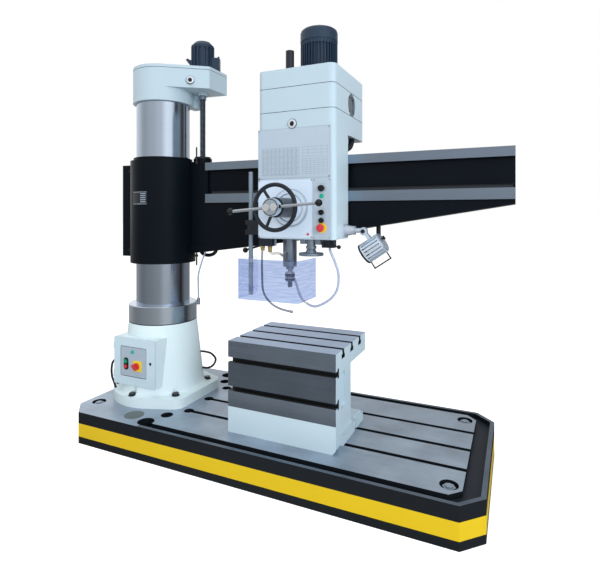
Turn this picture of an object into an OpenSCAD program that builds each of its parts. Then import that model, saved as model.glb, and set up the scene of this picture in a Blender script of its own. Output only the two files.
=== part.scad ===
// Radial arm drilling machine with box table, built in millimetres.
// The origin is on the column axis at the floor, +X runs out along the base and +Z is up.

/* [Base] */
// Length of the base plate along X
base_l = 2385; // [2300:5:2500]
// Width of the base plate along Y
base_w = 1000; // [980:5:1060]
// Height of the base plate
base_h = 188; // [175:1:200]
// Distance from the column axis to the left end of the base
base_left = 318; // [316:1:340]
// Corner chamfer of the base plate
base_chamfer = 98; // [80:1:110]
// Width of the raised rim outside the coolant channel
rim_w = 22; // [18:1:30]
// Width of the coolant channel along the long sides
channel_w = 42; // [36:1:50]
// Depth of the coolant channel
channel_d = 26; // [18:1:32]
// Spacing of the three T-slots
slot_pitch = 205; // [190:1:215]
// Throat width of every T-slot
slot_w = 28; // [22:1:28]
// Head width of every T-slot
slot_head_w = 50; // [44:1:52]

/* [Column] */
// Outside radius of the turning column
column_r = 175; // [172:1:178]
// Radius of the fixed inner column
core_r = 128; // [120:1:130]
// Height of the foot where the turning column starts
foot_top = 674; // [660:1:690]
// Height of the clamp ring above the foot
ring_h = 117; // [100:1:125]
// Outside radius of the clamp ring
ring_r = 222; // [215:1:225]
// Height of the underside of the top cap
cap_z = 2118; // [2116:1:2130]
// Height of the top cap
cap_h = 231; // [220:1:240]
// Radius of the round part of the cap
cap_r = 195; // [190:1:200]

/* [Arm] */
// Radius of the arm's sleeve
sleeve_r = 213; // [205:1:216]
// Free end of the arm
arm_end = 2178; // [2150:1:2200]
// Top of the arm and of its upper guideway
arm_top = 1718; // [1710:1:1725]
// Depth of the arm from front to back
arm_depth = 256; // [240:1:260]

/* [Head] */
// Width of the drill head along X
head_w = 462; // [450:1:470]
// Left side of the drill head
head_left = 859; // [855:1:865]
// Front of the drill head ahead of the guideways
head_front = 216; // [212:1:222]
// Bottom of the drill head
head_bottom = 1247; // [1245:1:1250]
// Top of the drill head
head_top = 2180; // [2170:1:2185]
// Radius of the head's upright corners
head_corner = 38; // [30:1:45]

/* [Spindle] */
// Spindle axis along X
spindle_x = 1004; // [1000:1:1006]
// Radius of the quill
quill_r = 50; // [48:1:52]
// Radius of the spindle nose
nose_r = 39.5; // [37:0.5:41]
// Lowest face of the spindle nose
nose_z = 1085; // [1080:1:1090]

/* [Table] */
// Length of the box table along X
table_l = 630; // [600:5:640]
// Depth of the box table along Y
table_w = 500; // [480:5:510]
// Height of the box table
table_h = 500; // [490:1:505]
// Left side of the box table
table_x = 742; // [735:1:745]
// Front of the box table
table_y = -336; // [-340:1:-330]

/* [Guard] */
// Height of the clear guard
guard_h = 222; // [200:1:225]
// Thickness of the clear guard
guard_t = 4; // [3:0.5:6]

/* [Hidden] */
$fn = 96;
small = 0.01;
// Radial running clearance of turning and sliding fits, and the gap between flat slides
fit = 0.06;
slide_gap = 0.3;

// Base and box table
base_x1 = base_l - base_left;
plate_end = base_x1 - 97;
slot_start = 374;
slot_throat = 24;
slot_head = 22;
drain = [243, base_w / 2 - rim_w - 48];
pocket_top = base_h - 58;
pocket_cols = 9;
pocket_rows = 4;
pocket_wall = 24;
screw_spots = [[1911, -358], [1911, 358], [-235, -330], [-235, 330]];
table_top = base_h + table_h;
table_slots = [-140, 0, 140];
table_front_slots = [428, 585];

// Foot and switch cabinet
flange_z = base_h + 59;
foot_r0 = 268;
door_y = -272;
door_t = 9.7;
box_half = 168;
box_z0 = 302;
box_z1 = 599;
bolt_spots = [[-245, -146], [-6, -280], [242, -166], [242, 166], [-6, 280], [-245, 146]];
flange_r = 316;
flange_corner = [242, 166, 76];
flange_turn = atan2(flange_corner[1], flange_corner[0])
    + acos((flange_r - flange_corner[2]) / norm([flange_corner[0], flange_corner[1]]));

// Cap, lead screw and lift motor
screw = [232, 128];
screw_r = 20;
cap_top = cap_z + cap_h;
cap_box = [360, 26, 230];
cap_box_z = 2205;
lift_motor_r = 74;
lift_motor_h = 204;

// Arm
sleeve_z0 = 1063;
sleeve_z1 = 1747;
rail_x0 = 344;
rail_t = 18;
upper_rail = [1668, 1718];
lower_rail = [1457, 1514];
web_y = 45;
limit = [245, 42];
limit_r = 5;

// Head: walls and seams between its three castings
head_right = head_left + head_w;
wall = 22;
seam_1 = 1944;
seam_2 = 2077;
hood_z = 1829;
hood_y = 304;
spindle_y = -96;

// Feed and traverse: involute gears, pinions and racks
feed_m = 3;
feed_z = 13;
rack_m = 4;
rack_z = 15;
sleeve_gear_z = 32;
transfer_gear_z = 64;
hub_z = 1417;
hub_x = spindle_x + 62;
hub = [hub_x, hub_z];
feed_pitch_r = feed_m * feed_z / 2;
rack_pitch_r = rack_m * rack_z / 2;
train_a = feed_m * (sleeve_gear_z + transfer_gear_z) / 2;
transfer_rise = 141.6;
transfer_dx = sqrt(train_a * train_a - transfer_rise * transfer_rise);
transfer = [hub_x + transfer_dx, hub_z + transfer_rise];
rack_line = transfer[1] - rack_pitch_r;
train_angle = atan2(transfer[1] - hub_z, transfer_dx);
quill_top = 1775;
wheel_y = -403;
lever_y = -424;
lever_lean = -4.7;

// Main drive
drive_m = 3;
spindle_gear_z = 58;
motor_gear_z = 68;
drive_a = drive_m * (spindle_gear_z + motor_gear_z) / 2;
drive_angle = 50.4;
motor_x = spindle_x + drive_a * cos(drive_angle);
motor_y = spindle_y + drive_a * sin(drive_angle);
gear_level = 1990;
motor_h = 210;

// Controls on the panel, as X and Z
panel = [1199, 1301, 1251, 1572];
panel_t = 4;
control_x = 1250;

// Guard, lamp and pieces under the head
rod = [795, -180];
rod_r = 12.5;
guard_x = [775, 1155];
guard_y = [-306, -72];
guard_z = 915;
fine = [1160, -150];
side_cover = [67, 2009];
lever_pin = [884, 1219];
lever_reach = [-172, -51];
lamp_axis = [1431, -60, 1290];
lamp_tilt = 34;
valve = [1230, 1298, -172, -128, 1196];
cock = [valve[1] - 14, valve[4] + 26];
pipe_block = 1204;

// Routes of the hoses and cables, chosen by hand
left_cable = [[-160, -205, 443], [-190, -222, 440], [-220, -232, 415], [-230, -234, 370], [-228, -232, 320],
    [-214, -226, 276], [-205, -222, 244]];
right_cable = [[204, 130, 440], [235, 140, 440], [285, 150, 430], [318, 156, 395], [300, 154, 352],
    [262, 146, 330], [216, 132, 332]];
half_loop = [[181, 172, 1150], [183, 172, 1128], [203, 172, 1108], [245, 172, 1099], [289, 172, 1110],
    [311, 172, 1134], [313, 172, 1160]];
hanging_loop = [[1471, 94, 1338], [1471, 94, 1298], [1471, 94, 1252], [1465, 114, 1200], [1452, 165, 1178],
    [1439, 216, 1200], [1433, 236, 1252], [1433, 236, 1296], [1433, 236, 1332]];
thin_hose = [[172, 160, 800.6], [172, 160, 808], [172, 160, 822], [196, 143, 900], [234, 115, 1000],
    [268, 96, 1080], [284, 92, 1140]];
hood_bend = [[1291, 152, 1840], [1291, 150, 1812], [1288, 126, 1779], [1276, 76, 1758], [1258, 25, 1752]];
hose_loop = [[1264, -136, 1202], [1266, -132, 1180], [1284, -110, 1120], [1294, -80, 1046], [1277, -60, 962],
    [1230, -56, 902], [1145, -50, 858], [1076, -40, 874], [1038, -32, 912], [1010, -28, 980],
    [980, -34, 1060], [950, -60, 1130], [936, -110, 1158], [930, -160, 1158], [928, -186, 1166],
    [926, -192, 1184]];
nozzle_pipe = [[884, -200, 1192], [880, -200, 1150], [880, -200, 1040], [888, -198, 945], [930, -190, 884],
    [990, -182, 854], [1060, -176, 842]];

// Rounded rectangle centred on the origin
module rrect(w, h, r) {
    square([w - 2 * r, h], center = true);
    square([w, h - 2 * r], center = true);
    for (sx = [-1, 1], sy = [-1, 1])
        translate([sx * (w / 2 - r), sy * (h / 2 - r)])
            circle(r);
}

// Upright block with rounded vertical edges between two corners
module rblock(x, y, z, r) {
    translate([(x[0] + x[1]) / 2, (y[0] + y[1]) / 2, z[0]])
        linear_extrude(z[1] - z[0])
            rrect(x[1] - x[0], y[1] - y[0], r);
}

// Plain block between two corners
module block(x, y, z) {
    translate([x[0], y[0], z[0]])
        cube([x[1] - x[0], y[1] - y[0], z[1] - z[0]]);
}

// Round bar along Y at a point given as X and Z
module bar_y(p, r, y0, y1) {
    translate([p[0], y0, p[1]])
        rotate([-90, 0, 0])
            cylinder(h = y1 - y0, r = r);
}

// Round bar along X at a point given as Y and Z
module bar_x(p, r, x0, x1) {
    translate([x0, p[0], p[1]])
        rotate([0, 90, 0])
            cylinder(h = x1 - x0, r = r);
}

// Upright round bar at a point given as X and Y
module bar_z(p, r, z0, z1) {
    translate([p[0], p[1], z0])
        cylinder(h = z1 - z0, r = r);
}

// Profile extruded along Y, with the profile's y pointing down
module along_y(p, y0, y1) {
    translate([p[0], y0, p[1]])
        rotate([-90, 0, 0])
            linear_extrude(y1 - y0)
                children();
}

// Profile drawn in X and Z, extruded along Y
module xz_plate(y0, y1) {
    translate([0, y1, 0])
        rotate([90, 0, 0])
            linear_extrude(y1 - y0)
                children();
}

// Involute tooth: half the tooth's angle at radius r, with 0.35 mm of backlash
function inv(a) = tan(a) * 180 / PI - a;
function half_tooth(m, z, r) = let (rp = m * z / 2, rb = rp * cos(20))
    90 / z - 0.35 / (4 * rp) * 360 / PI + inv(20) - inv(acos(min(1, rb / r)));
function gear_points(m, z) = let (rp = m * z / 2, flank = [[rp - 1.25 * m, -1], [rp, -1], [rp + 0.95 * m, -1],
    [rp + 0.95 * m, 1], [rp, 1], [rp - 1.25 * m, 1]])
    [for (i = [0 : z - 1], f = flank) let (a = 90 + 360 / z * i + f[1] * half_tooth(m, z, f[0]))
        f[0] * [cos(a), sin(a)]];
module gear(m, z, turn = 0) {
    rotate(turn)
        polygon(gear_points(m, z));
}

// Rack of n gaps along x with its pitch line on y = 0, teeth pointing to +y and the middle gap at x = 0
function rack_points(m, n, base) = let (p = PI * m, w0 = p / 4 + 0.18, s = tan(20))
    concat([[-(n / 2) * p, -base]],
        [[-(n / 2) * p, 0.95 * m]],
        [for (i = [0 : n - 1], k = [[-1, 0.95], [-1, -1.25], [1, -1.25], [1, 0.95]])
            [(i - (n - 1) / 2) * p + k[0] * (w0 + k[1] * m * s), k[1] * m]],
        [[(n / 2) * p, 0.95 * m]],
        [[(n / 2) * p, -base]]);

// Tube along a route of points: rings on a smooth curve, closed by two end caps
function curve(a, b, c, d, t) = 0.5 * (2 * b + (c - a) * t + (2 * a - 5 * b + 4 * c - d) * t * t
    + (3 * b - a - 3 * c + d) * t * t * t);
function smooth(p, n) = [for (i = [0 : len(p) - 2], k = [0 : n - 1])
    curve(p[max(i - 1, 0)], p[i], p[i + 1], p[min(i + 2, len(p) - 1)], k / n), p[len(p) - 1]];
function unit(v) = v / norm(v);
function heading(p, i) = unit(p[min(i + 1, len(p) - 1)] - p[max(i - 1, 0)]);
function ring_at(c, d, side, r, n) = let (u = unit(cross(d, side)), v = cross(u, d))
    [for (k = [0 : n - 1]) c + r * (cos(360 / n * k) * u + sin(360 / n * k) * v)];
module tube(route, r, n = 8, per = 3, side = [0.05, 1, 0.02]) {
    p = smooth(route, per);
    last = len(p) - 1;
    points = [for (i = [0 : last]) each ring_at(p[i], heading(p, i), side, r, n)];
    walls = [for (i = [0 : last - 1], k = [0 : n - 1]) let (a = i * n + k, b = i * n + (k + 1) % n)
        each [[a, b, a + n], [b, b + n, a + n]]];
    caps = [for (k = [1 : n - 2]) each [[0, k + 1, k], [last * n, last * n + k, last * n + k + 1]]];
    polyhedron(points, concat(walls, caps));
}

// Chamfered plan of the base, drawn in by a margin
module base_plan(margin) {
    x0 = margin - base_left;
    x1 = base_x1 - margin;
    y = base_w / 2 - margin;
    c = base_chamfer - margin * 0.586;
    polygon([[x0 + c, -y], [x1 - c, -y], [x1, c - y], [x1, y - c], [x1 - c, y], [x0 + c, y],
        [x0, y - c], [x0, c - y]]);
}

// Working plate inside the coolant channel, with its free corners cut off
module plate_plan() {
    y = base_w / 2 - rim_w - channel_w;
    cut = 52;
    polygon([[-base_left, -y], [plate_end - cut, -y], [plate_end, cut - y], [plate_end, y - cut],
        [plate_end - cut, y], [-base_left, y]]);
}

// T-slot along X, with its open face on z = 0
module t_slot(x0, x1) {
    block([x0, x1], [-slot_w / 2, slot_w / 2], [-slot_throat - small, 1]);
    block([x0, x1], [-slot_head_w / 2, slot_head_w / 2], [-slot_throat - slot_head, -slot_throat]);
}

// Ribbed underside, solid round the levelling screws in the corners
module base_pockets() {
    step_x = (base_l - 2 * pocket_wall) / pocket_cols;
    step_y = (base_w - 2 * pocket_wall) / pocket_rows;
    for (i = [0 : pocket_cols - 1], j = [0 : pocket_rows - 1])
        if ((i > 0 && i < pocket_cols - 1) || (j > 0 && j < pocket_rows - 1))
            translate([pocket_wall - base_left + i * step_x, pocket_wall - base_w / 2 + j * step_y, -1])
                cube([step_x - pocket_wall, step_y - pocket_wall, pocket_top + 1]);
}

module base_casting() {
    color("dimgray")
        difference() {
            linear_extrude(base_h)
                base_plan(0);
            translate([0, 0, base_h - channel_d])
                linear_extrude(channel_d + 1)
                    intersection() {
                        difference() {
                            base_plan(rim_w);
                            plate_plan();
                        }
                        translate([drain[0], -base_w])
                            square([base_l, 2 * base_w]);
                    }
            for (side = [-1, 1])
                bar_z([drain[0], side * drain[1]], 48, base_h - 50, base_h + 1);
            for (y = [-slot_pitch, 0, slot_pitch]) {
                translate([0, y, base_h])
                    t_slot(slot_start, plate_end + 1);
                bar_z([slot_start, y], 30, base_h - slot_throat - slot_head, base_h + 1);
            }
            for (side = [-1, 1])
                bar_z([294, side * 309], 36, base_h - 50, base_h + 1);
            bar_z([117, -391], 58, base_h - 2, base_h + 1);
            for (p = screw_spots) {
                bar_z(p, 42, base_h - 30, base_h + 1);
                bar_z(p, 19, -1, base_h);
            }
            for (p = bolt_spots)
                bar_z(p, 13, base_h - 50, base_h + 1);
            base_pockets();
        }
}

module levelling_screws() {
    color("silver")
        for (p = screw_spots) {
            bar_z(p, 18, 1, base_h - 30);
            translate([p[0], p[1], base_h - 30])
                cylinder(h = 22, r = 30, $fn = 6);
            bar_z(p, 18, base_h - 8, base_h - 2);
        }
}

// Foot flange: a disc carried tangentially into two rounded corners
module flange_plan() {
    lean = [cos(flange_turn), sin(flange_turn)];
    circle(flange_r);
    translate([0, -flange_corner[1]])
        square([flange_corner[0] + flange_corner[2], 2 * flange_corner[1]]);
    for (side = [-1, 1]) {
        corner = [flange_corner[0], side * flange_corner[1]];
        edge = [lean[0], side * lean[1]];
        translate(corner)
            circle(flange_corner[2]);
        polygon([[0, 0], flange_r * edge, corner + flange_corner[2] * edge, corner]);
    }
}

module column_foot() {
    color("#c5dce6")
        difference() {
            union() {
                translate([0, 0, base_h])
                    linear_extrude(flange_z - base_h)
                        flange_plan();
                rotate_extrude()
                    polygon([[core_r, base_h], [foot_r0 + 26, base_h], [foot_r0 + 26, flange_z],
                        [foot_r0 + 12, flange_z + 5], [foot_r0 + 4, flange_z + 14], [foot_r0, flange_z + 30],
                        [ring_r, foot_top], [core_r, foot_top]]);
                block([-box_half, box_half], [-262, -120], [box_z0, box_z1]);
            }
            bar_z([0, 0], core_r, base_h - 1, foot_top + 1);
            rotate_extrude()
                polygon([[core_r - 1, 270], [205, 270], [178, 630], [core_r - 1, 630]]);
            block([-150, 150], [-270, -150], [box_z0 + 18, box_z1 - 18]);
            block([-box_half - 20, box_half + 6], [-300, -262], [box_z0 - 6, box_z1 + 6]);
            for (p = bolt_spots) {
                bar_z(p, 13, base_h - 1, flange_z + 1);
                bar_z(p, 26, flange_z - 4, flange_z + 60);
            }
        }
}

module foot_bolts() {
    color("dimgray")
        for (p = bolt_spots) {
            bar_z(p, 12, base_h - 48, flange_z - 4);
            bar_z(p, 24, flange_z - 4, flange_z + 1);
            translate([p[0], p[1], flange_z + 1])
                cylinder(h = 15, r = 20, $fn = 6);
        }
}

module inner_column() {
    color("silver")
        difference() {
            bar_z([0, 0], core_r, base_h, 2105);
            bar_z([0, 0], core_r - 24, base_h + 40, 2106);
        }
}

// Steel tray in the foot with the switch gear on its back plate
module switch_box() {
    color("lightgray") {
        difference() {
            block([-149, 149], [-261, -151], [box_z0 + 19, box_z1 - 19]);
            block([-146, 146], [-262, -154], [box_z0 + 22, box_z1 - 22]);
        }
        for (x = [-90, -20, 50])
            block([x, x + 52], [-200, -154], [box_z0 + 150, box_z0 + 230]);
        block([-110, 110], [-175, -154], [box_z0 + 60, box_z0 + 90]);
    }
}

module foot_cables() {
    color("black") {
        tube(left_cable, 7);
        tube(right_cable, 7);
    }
}

// Door plate with a shallow recess for the switch panel, hinge knuckles on its left edge
module switch_door() {
    color("#c5dce6")
        difference() {
            union() {
                translate([0, door_y + door_t, (box_z0 + box_z1) / 2])
                    rotate([90, 0, 0])
                        linear_extrude(door_t)
                            rrect(2 * box_half, box_z1 - box_z0, 6);
                for (z = [box_z0 + 40, box_z1 - 80])
                    bar_z([-box_half - 4, door_y + 5], 5, z, z + 40);
            }
            translate([-7, door_y + 2, 451])
                rotate([90, 0, 0])
                    linear_extrude(3)
                        rrect(212, 190, 10);
            bar_y([25, 429], 5.06, door_y - 1, door_y + 20);
            for (z = [419, 452])
                bar_y([-66, z], 9.5, door_y - 1, door_y + 20);
        }
}

// Red rotary switch with its grip and a spindle through the door
module main_switch() {
    color("crimson") {
        bar_y([25, 429], 5, door_y - 4, door_y + 14);
        bar_y([25, 429], 22, door_y - 16, door_y - 4);
        translate([25, door_y - 16, 429])
            rotate([90, 45, 0])
                linear_extrude(18)
                    rrect(42, 14, 5);
    }
}

module press_button(z, shade) {
    color(shade) {
        bar_y([-66, z], 9, door_y - 2.5, door_y + 8);
        bar_y([-66, z], 12, door_y - 9, door_y - 2.5);
    }
}

module start_button() {
    press_button(452, "green");
}

module stop_button() {
    press_button(419, "red");
}

// Angle-shaped box table: slotted top, slotted front wall, hollow box behind it and a rear clamping foot
module box_table() {
    x1 = table_x + table_l;
    back = table_y + 285;
    inset = 18;
    color("#c5dce6")
        difference() {
            union() {
                block([table_x, x1], [table_y, table_y + table_w], [table_top - 104, table_top]);
                xz_plate(table_y, table_y + 62)
                    union() {
                        translate([table_x, base_h + 34])
                            square([table_l, table_h - 60]);
                        translate([table_x, base_h])
                            square([table_l - 34, 60]);
                        translate([x1 - 34, base_h + 34])
                            circle(34);
                    }
                block([table_x + inset, x1 - inset], [table_y, back], [base_h, table_top - 60]);
                block([table_x + inset, x1 - inset], [back - 10, back + 165], [base_h, base_h + 56]);
                for (x = [table_x, x1 - inset - 1])
                    block([x, x + inset + 1], [table_y + 110, back + 165], [base_h, base_h + 50]);
                for (x = [table_x + 120, x1 - 150])
                    xz_rib(x, back);
            }
            block([table_x + inset + 36, x1 - inset - 36], [table_y + 62, back - 36],
                [base_h - 1, table_top - 90]);
            for (x = [table_x - 1, x1 - inset - 16])
                translate([x, (table_y + 62 + back - 36) / 2, 460])
                    rotate([90, 0, 90])
                        linear_extrude(inset + 17)
                            rrect(70, 190, 22);
            translate([0, table_y + table_w / 2, table_top])
                for (y = table_slots)
                    translate([0, y, 0])
                        t_slot(table_x - 1, x1 + 1);
            for (z = table_front_slots)
                translate([0, table_y, z])
                    rotate([90, 0, 0])
                        t_slot(table_x - 1, x1 + 1);
            for (x = [table_x + 120, x1 - 120])
                block([x - 14, x + 14], [back + 90, back + 166], [base_h - 1, base_h + 57]);
            for (x = [table_x + inset, x1 - inset])
                block([x - 30, x + 30], [back + 21, back + 49], [base_h - 1, base_h + 57]);
        }
}

// Rib under the overhanging top of the table
module xz_rib(x, back) {
    translate([x, back - 1, 0])
        rotate([90, 0, 90])
            linear_extrude(30)
                polygon([[0, table_top - 103], [150, table_top - 103], [0, table_top - 260]]);
}

module outer_column() {
    color("silver")
        difference() {
            bar_z([0, 0], column_r, foot_top + slide_gap, cap_z + 22);
            bar_z([0, 0], column_r - 25, foot_top, cap_z + 23);
        }
}

// Split ring that clamps the column, with a hose union on its side
module clamp_ring() {
    color("gray")
        difference() {
            union() {
                translate([0, 0, foot_top + slide_gap])
                    rotate_extrude()
                        polygon([[column_r, 0], [ring_r, 0], [ring_r, ring_h - 5], [ring_r - 5, ring_h],
                            [column_r, ring_h]]);
                translate([0, 0, foot_top + ring_h - 24])
                    rotate([0, 90, 43])
                        cylinder(h = 232, r = 9);
                bar_z([172, 160], 11, foot_top + ring_h - 36, foot_top + ring_h + 9);
            }
            bar_z([0, 0], column_r, foot_top - 1, foot_top + ring_h + 30);
            rotate([0, 0, 140])
                block([column_r - 1, ring_r + 1], [-2, 2], [foot_top - 1, foot_top + ring_h + 1]);
        }
}

// Upper and lower bearing bushes of the turning column
module column_bearings() {
    color("darkgoldenrod")
        for (z = [[foot_top + 20, 120], [1960, 110]])
            difference() {
                bar_z([0, 0], column_r - 25, z[0], z[0] + z[1]);
                bar_z([0, 0], core_r + fit, z[0] - 1, z[0] + z[1] + 1);
            }
}

// Point where a tangent from p touches a circle of radius r on the origin
function tangent(p, r, side) = let (a = atan2(p[1], p[0]) + side * acos(r / norm(p))) r * [cos(a), sin(a)];
cap_front = tangent([cap_box[0], cap_box[1]], cap_r, -1);
cap_rear = tangent([cap_box[0], cap_box[2]], cap_r, 1);
cap_lean = atan2(cap_box[1] - cap_front[1], cap_box[0] - cap_front[0]);

module cap_plan() {
    circle(cap_r);
    polygon([[0, 0], cap_front, [cap_box[0], cap_box[1]], [cap_box[0], cap_box[2]], cap_rear]);
}

module top_cap() {
    color("#c5dce6")
        difference() {
            union() {
                bar_z([0, 0], cap_r, cap_z, cap_box_z + 10);
                translate([0, 0, cap_box_z])
                    linear_extrude(cap_top - cap_box_z)
                        cap_plan();
                difference() {
                    block([100, 190], [120, 215], [cap_z, cap_box_z + 10]);
                    bar_z(screw, 68, cap_z - 1, cap_box_z - 30);
                }
                sight_boss();
                bar_z(screw, 36, cap_box_z - 14, cap_box_z + 5);
            }
            bar_z([0, 0], column_r, cap_z - 1, cap_z + 22);
            bar_z([0, 0], column_r - 25, cap_z, cap_top - 24);
            bar_z(screw, screw_r + 5, cap_box_z - 20, cap_box_z + 30);
            bar_z(screw, 88, cap_box_z + 20, cap_top - 20);
            bar_z(screw, 22, cap_top - 30, cap_top + 1);
            cap_seam();
        }
}

// Oil sight glass boss on the cap's leaning front face
module sight_boss() {
    translate([cap_front[0], cap_front[1], cap_top - 98])
        rotate([0, 0, cap_lean])
            translate([180, 0, 0])
                rotate([90, 0, 0])
                    difference() {
                        translate([0, 0, -5])
                            cylinder(h = 13, r = 25);
                        translate([0, 0, 3])
                            cylinder(h = 6, r = 17);
                    }
}

// Thin joint line round the cap where its cover plate sits
module cap_seam() {
    translate([0, 0, cap_top - 22])
        linear_extrude(1.6)
            difference() {
                circle(400);
                scale(0.992)
                    cap_plan();
            }
}

// Finned motor with its bevelled end, terminal box and lifting lug
module lift_motor() {
    color("#3a4650")
        translate([screw[0], screw[1], cap_top])
            union() {
                linear_extrude(lift_motor_h - 26)
                    union() {
                        circle(lift_motor_r - 8);
                        for (i = [0 : 15])
                            rotate(360 / 16 * i + 11)
                                translate([0, -5])
                                    square([lift_motor_r + 4, 10]);
                    }
                cylinder(h = 14, r = lift_motor_r + 4);
                translate([0, 0, lift_motor_h - 44])
                    cylinder(h = 20, r = lift_motor_r);
                translate([0, 0, lift_motor_h - 24])
                    cylinder(h = 24, r1 = lift_motor_r, r2 = lift_motor_r - 22);
                rotate([0, 0, 28]) {
                    translate([0, -38, 18])
                        cube([lift_motor_r + 32, 76, 78]);
                    translate([lift_motor_r + 32, -42, 16])
                        cube([10, 84, 86]);
                    lift_lug();
                }
                translate([0, 0, -16])
                    cylinder(h = 17, r = 22 - fit);
            }
}

module lift_lug() {
    xz_plate(-7, 7)
        polygon([[-lift_motor_r + 10, 44], [-lift_motor_r - 8, 48], [-lift_motor_r - 40, 88],
            [-lift_motor_r - 30, 98], [-lift_motor_r - 12, 88], [-lift_motor_r + 10, 84]]);
}

// Lead screw with its thrust collar and drive gear in the cap
module lead_screw() {
    color("gray")
        union() {
            bar_z(screw, screw_r, 1180, cap_box_z + 96);
            bar_z(screw, screw_r + 4, cap_box_z - 40, cap_box_z + 28);
            translate([screw[0], screw[1], cap_box_z + 50])
                linear_extrude(34)
                    gear(4, 36);
        }
}

// Lower edge of the arm and the outline of its casting in X and Z
arm_outline = [[0, 1120], [200, 1122], [rail_x0, 1137], [870, 1206], [1460, 1315], [arm_end, 1434],
    [arm_end, arm_top], [rail_x0, arm_top], [0, arm_top]];

module arm_casting() {
    color("#1b2128")
        difference() {
            union() {
                bar_z([0, 0], sleeve_r, sleeve_z0, sleeve_z1 - 12);
                bar_z([0, 0], column_r + 18, sleeve_z1 - 13, sleeve_z1 + 8);
                intersection() {
                    xz_plate(rail_t, arm_depth)
                        polygon(arm_outline);
                    translate([0, 0, sleeve_z0])
                        linear_extrude(sleeve_z1)
                            polygon([[0, 0], [arm_end + 1, 0], [arm_end + 1, arm_depth + 1],
                                [150, arm_depth + 1], [0, sleeve_r]]);
                }
                bar_z(screw, 62, 1400, 1760);
            }
            bar_z([0, 0], column_r + fit, sleeve_z0 - 1, sleeve_z1 + 9);
            block([rail_x0, arm_end + 1], [rail_t - 1, web_y], [lower_rail[1], upper_rail[0]]);
            block([sleeve_r - 60, rail_x0], [rail_t - 1, limit[1] - 14], [1180, arm_top + 1]);
            arm_core();
            bar_z(screw, screw_r + 6, 1000, 1800);
            bar_z(screw, 40, 1648, 1761);
            bar_z(limit, limit_r + 0.02, 1000, 1800);
        }
}

// Closed hollow of the arm's box section, and the covers of its core holes let into the back wall
module arm_core() {
    skin = 24;
    xz_plate(web_y + skin, arm_depth - skin)
        polygon([[310, 1165], [870, 1238], [1460, 1345], [arm_end - 30, 1462], [arm_end - 30, arm_top - skin],
            [310, arm_top - skin]]);
    for (x = [560, 960, 1360, 1760])
        translate([x, arm_depth + 1, 1560])
            rotate([90, 0, 0])
                linear_extrude(9)
                    rrect(240, 130, 40);
}

// Cover of the arm's clamping gear on the far side of the sleeve
module clamp_cover() {
    color("#1b2128")
        difference() {
            rblock([-300, -150], [-76, 76], [1096, 1718], 14);
            bar_z([0, 0], sleeve_r, 1090, 1720);
        }
}

module guideways() {
    color("lightgray")
        for (z = [upper_rail, lower_rail])
            block([rail_x0, arm_end], [0, rail_t], z);
}

// Rack on the lower guideway: teeth point up, with a gap below the transfer pinion
module traverse_rack() {
    teeth = 140;
    color("gray")
        translate([transfer[0] + 15 * PI * rack_m, 0, rack_line])
            xz_plate(6, 34)
                polygon(rack_points(rack_m, teeth + 1, rack_line - lower_rail[1]));
}

module lift_nut() {
    color("darkgoldenrod")
        difference() {
            union() {
                bar_z(screw, 40, 1648, 1740);
                bar_z(screw, 54, 1760, 1772);
                bar_z(screw, 40, 1740, 1760);
            }
            bar_z(screw, screw_r + fit, 1600, 1800);
        }
}

// Trip rod of the lift limits, held by two collars on the arm
module limit_rod() {
    color("silver")
        union() {
            bar_z(limit, limit_r, 1042, 1830);
            bar_z(limit, 11, 1100, 1114);
            bar_z(limit, 11, arm_top, arm_top + 14);
        }
}

// Hose loops under the arm: a short one by the sleeve, and the cable loop that hangs behind the lamp
module arm_hose() {
    color("black") {
        tube(half_loop, 12, 10);
        tube(hanging_loop, 13, 10);
    }
}

module clamp_hose() {
    color("lightsteelblue")
        tube(thin_hose, 5);
}

// Plan of the drill head with rounded upright corners
module head_plan(margin) {
    translate([head_left + head_w / 2, (hood_y - head_front) / 2])
        rrect(head_w - 2 * margin, head_front + hood_y - 2 * margin, head_corner - margin);
}

// Joint line round the head between two castings
module head_seam(z) {
    translate([0, 0, z - 1])
        linear_extrude(2)
            difference() {
                head_plan(-1);
                head_plan(1.5);
            }
}

// Lower head: front box on the guideways, hood reaching back over the arm, quill and shaft bores
module head_casing() {
    color("#c5dce6")
        difference() {
            union() {
                difference() {
                    translate([0, 0, head_bottom])
                        linear_extrude(seam_1 - head_bottom)
                            head_plan(0);
                    block([head_left - 1, head_right + 1], [-slide_gap, hood_y + 1],
                        [head_bottom - 1, hood_z]);
                    block([head_left + wall, head_right - wall], [wall - head_front, -wall - slide_gap],
                        [head_bottom + 28, seam_1 + 1]);
                    block([head_left + wall, head_right - wall], [-wall - 1, hood_y - wall],
                        [hood_z + wall, seam_1 + 1]);
                }
                block([head_left + 20, head_right - 20], [-slide_gap - 1, 34],
                    [arm_top + slide_gap, hood_z + 1]);
                bar_z([spindle_x, spindle_y], 76, head_bottom + 20, 1388);
                bar_z([spindle_x, spindle_y], 76, 1446, 1540);
                rblock([866, 904], [-96, -66], [1198, head_bottom + 1], 5);
            }
            bar_z([spindle_x, spindle_y], quill_r + fit, head_bottom - 1, 1600);
            block([spindle_x + 36, spindle_x + 90], [spindle_y - 30, spindle_y + 30], [1380, 1600]);
            bar_y(hub, 30 + fit, -head_front - 1, wall - head_front + 1);
            bar_y(hub, 60, wall - head_front - 0.5, -170);
            bar_y(transfer, 12 + fit, -wall - 2, 1);
            for (z = [1350, 1310])
                bar_y([control_x, z], 9, -head_front - 1, -head_front + 12);
            bar_y(lever_pin, 6 + fit, -97, -60);
            head_seam(seam_1);
        }
}

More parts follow.
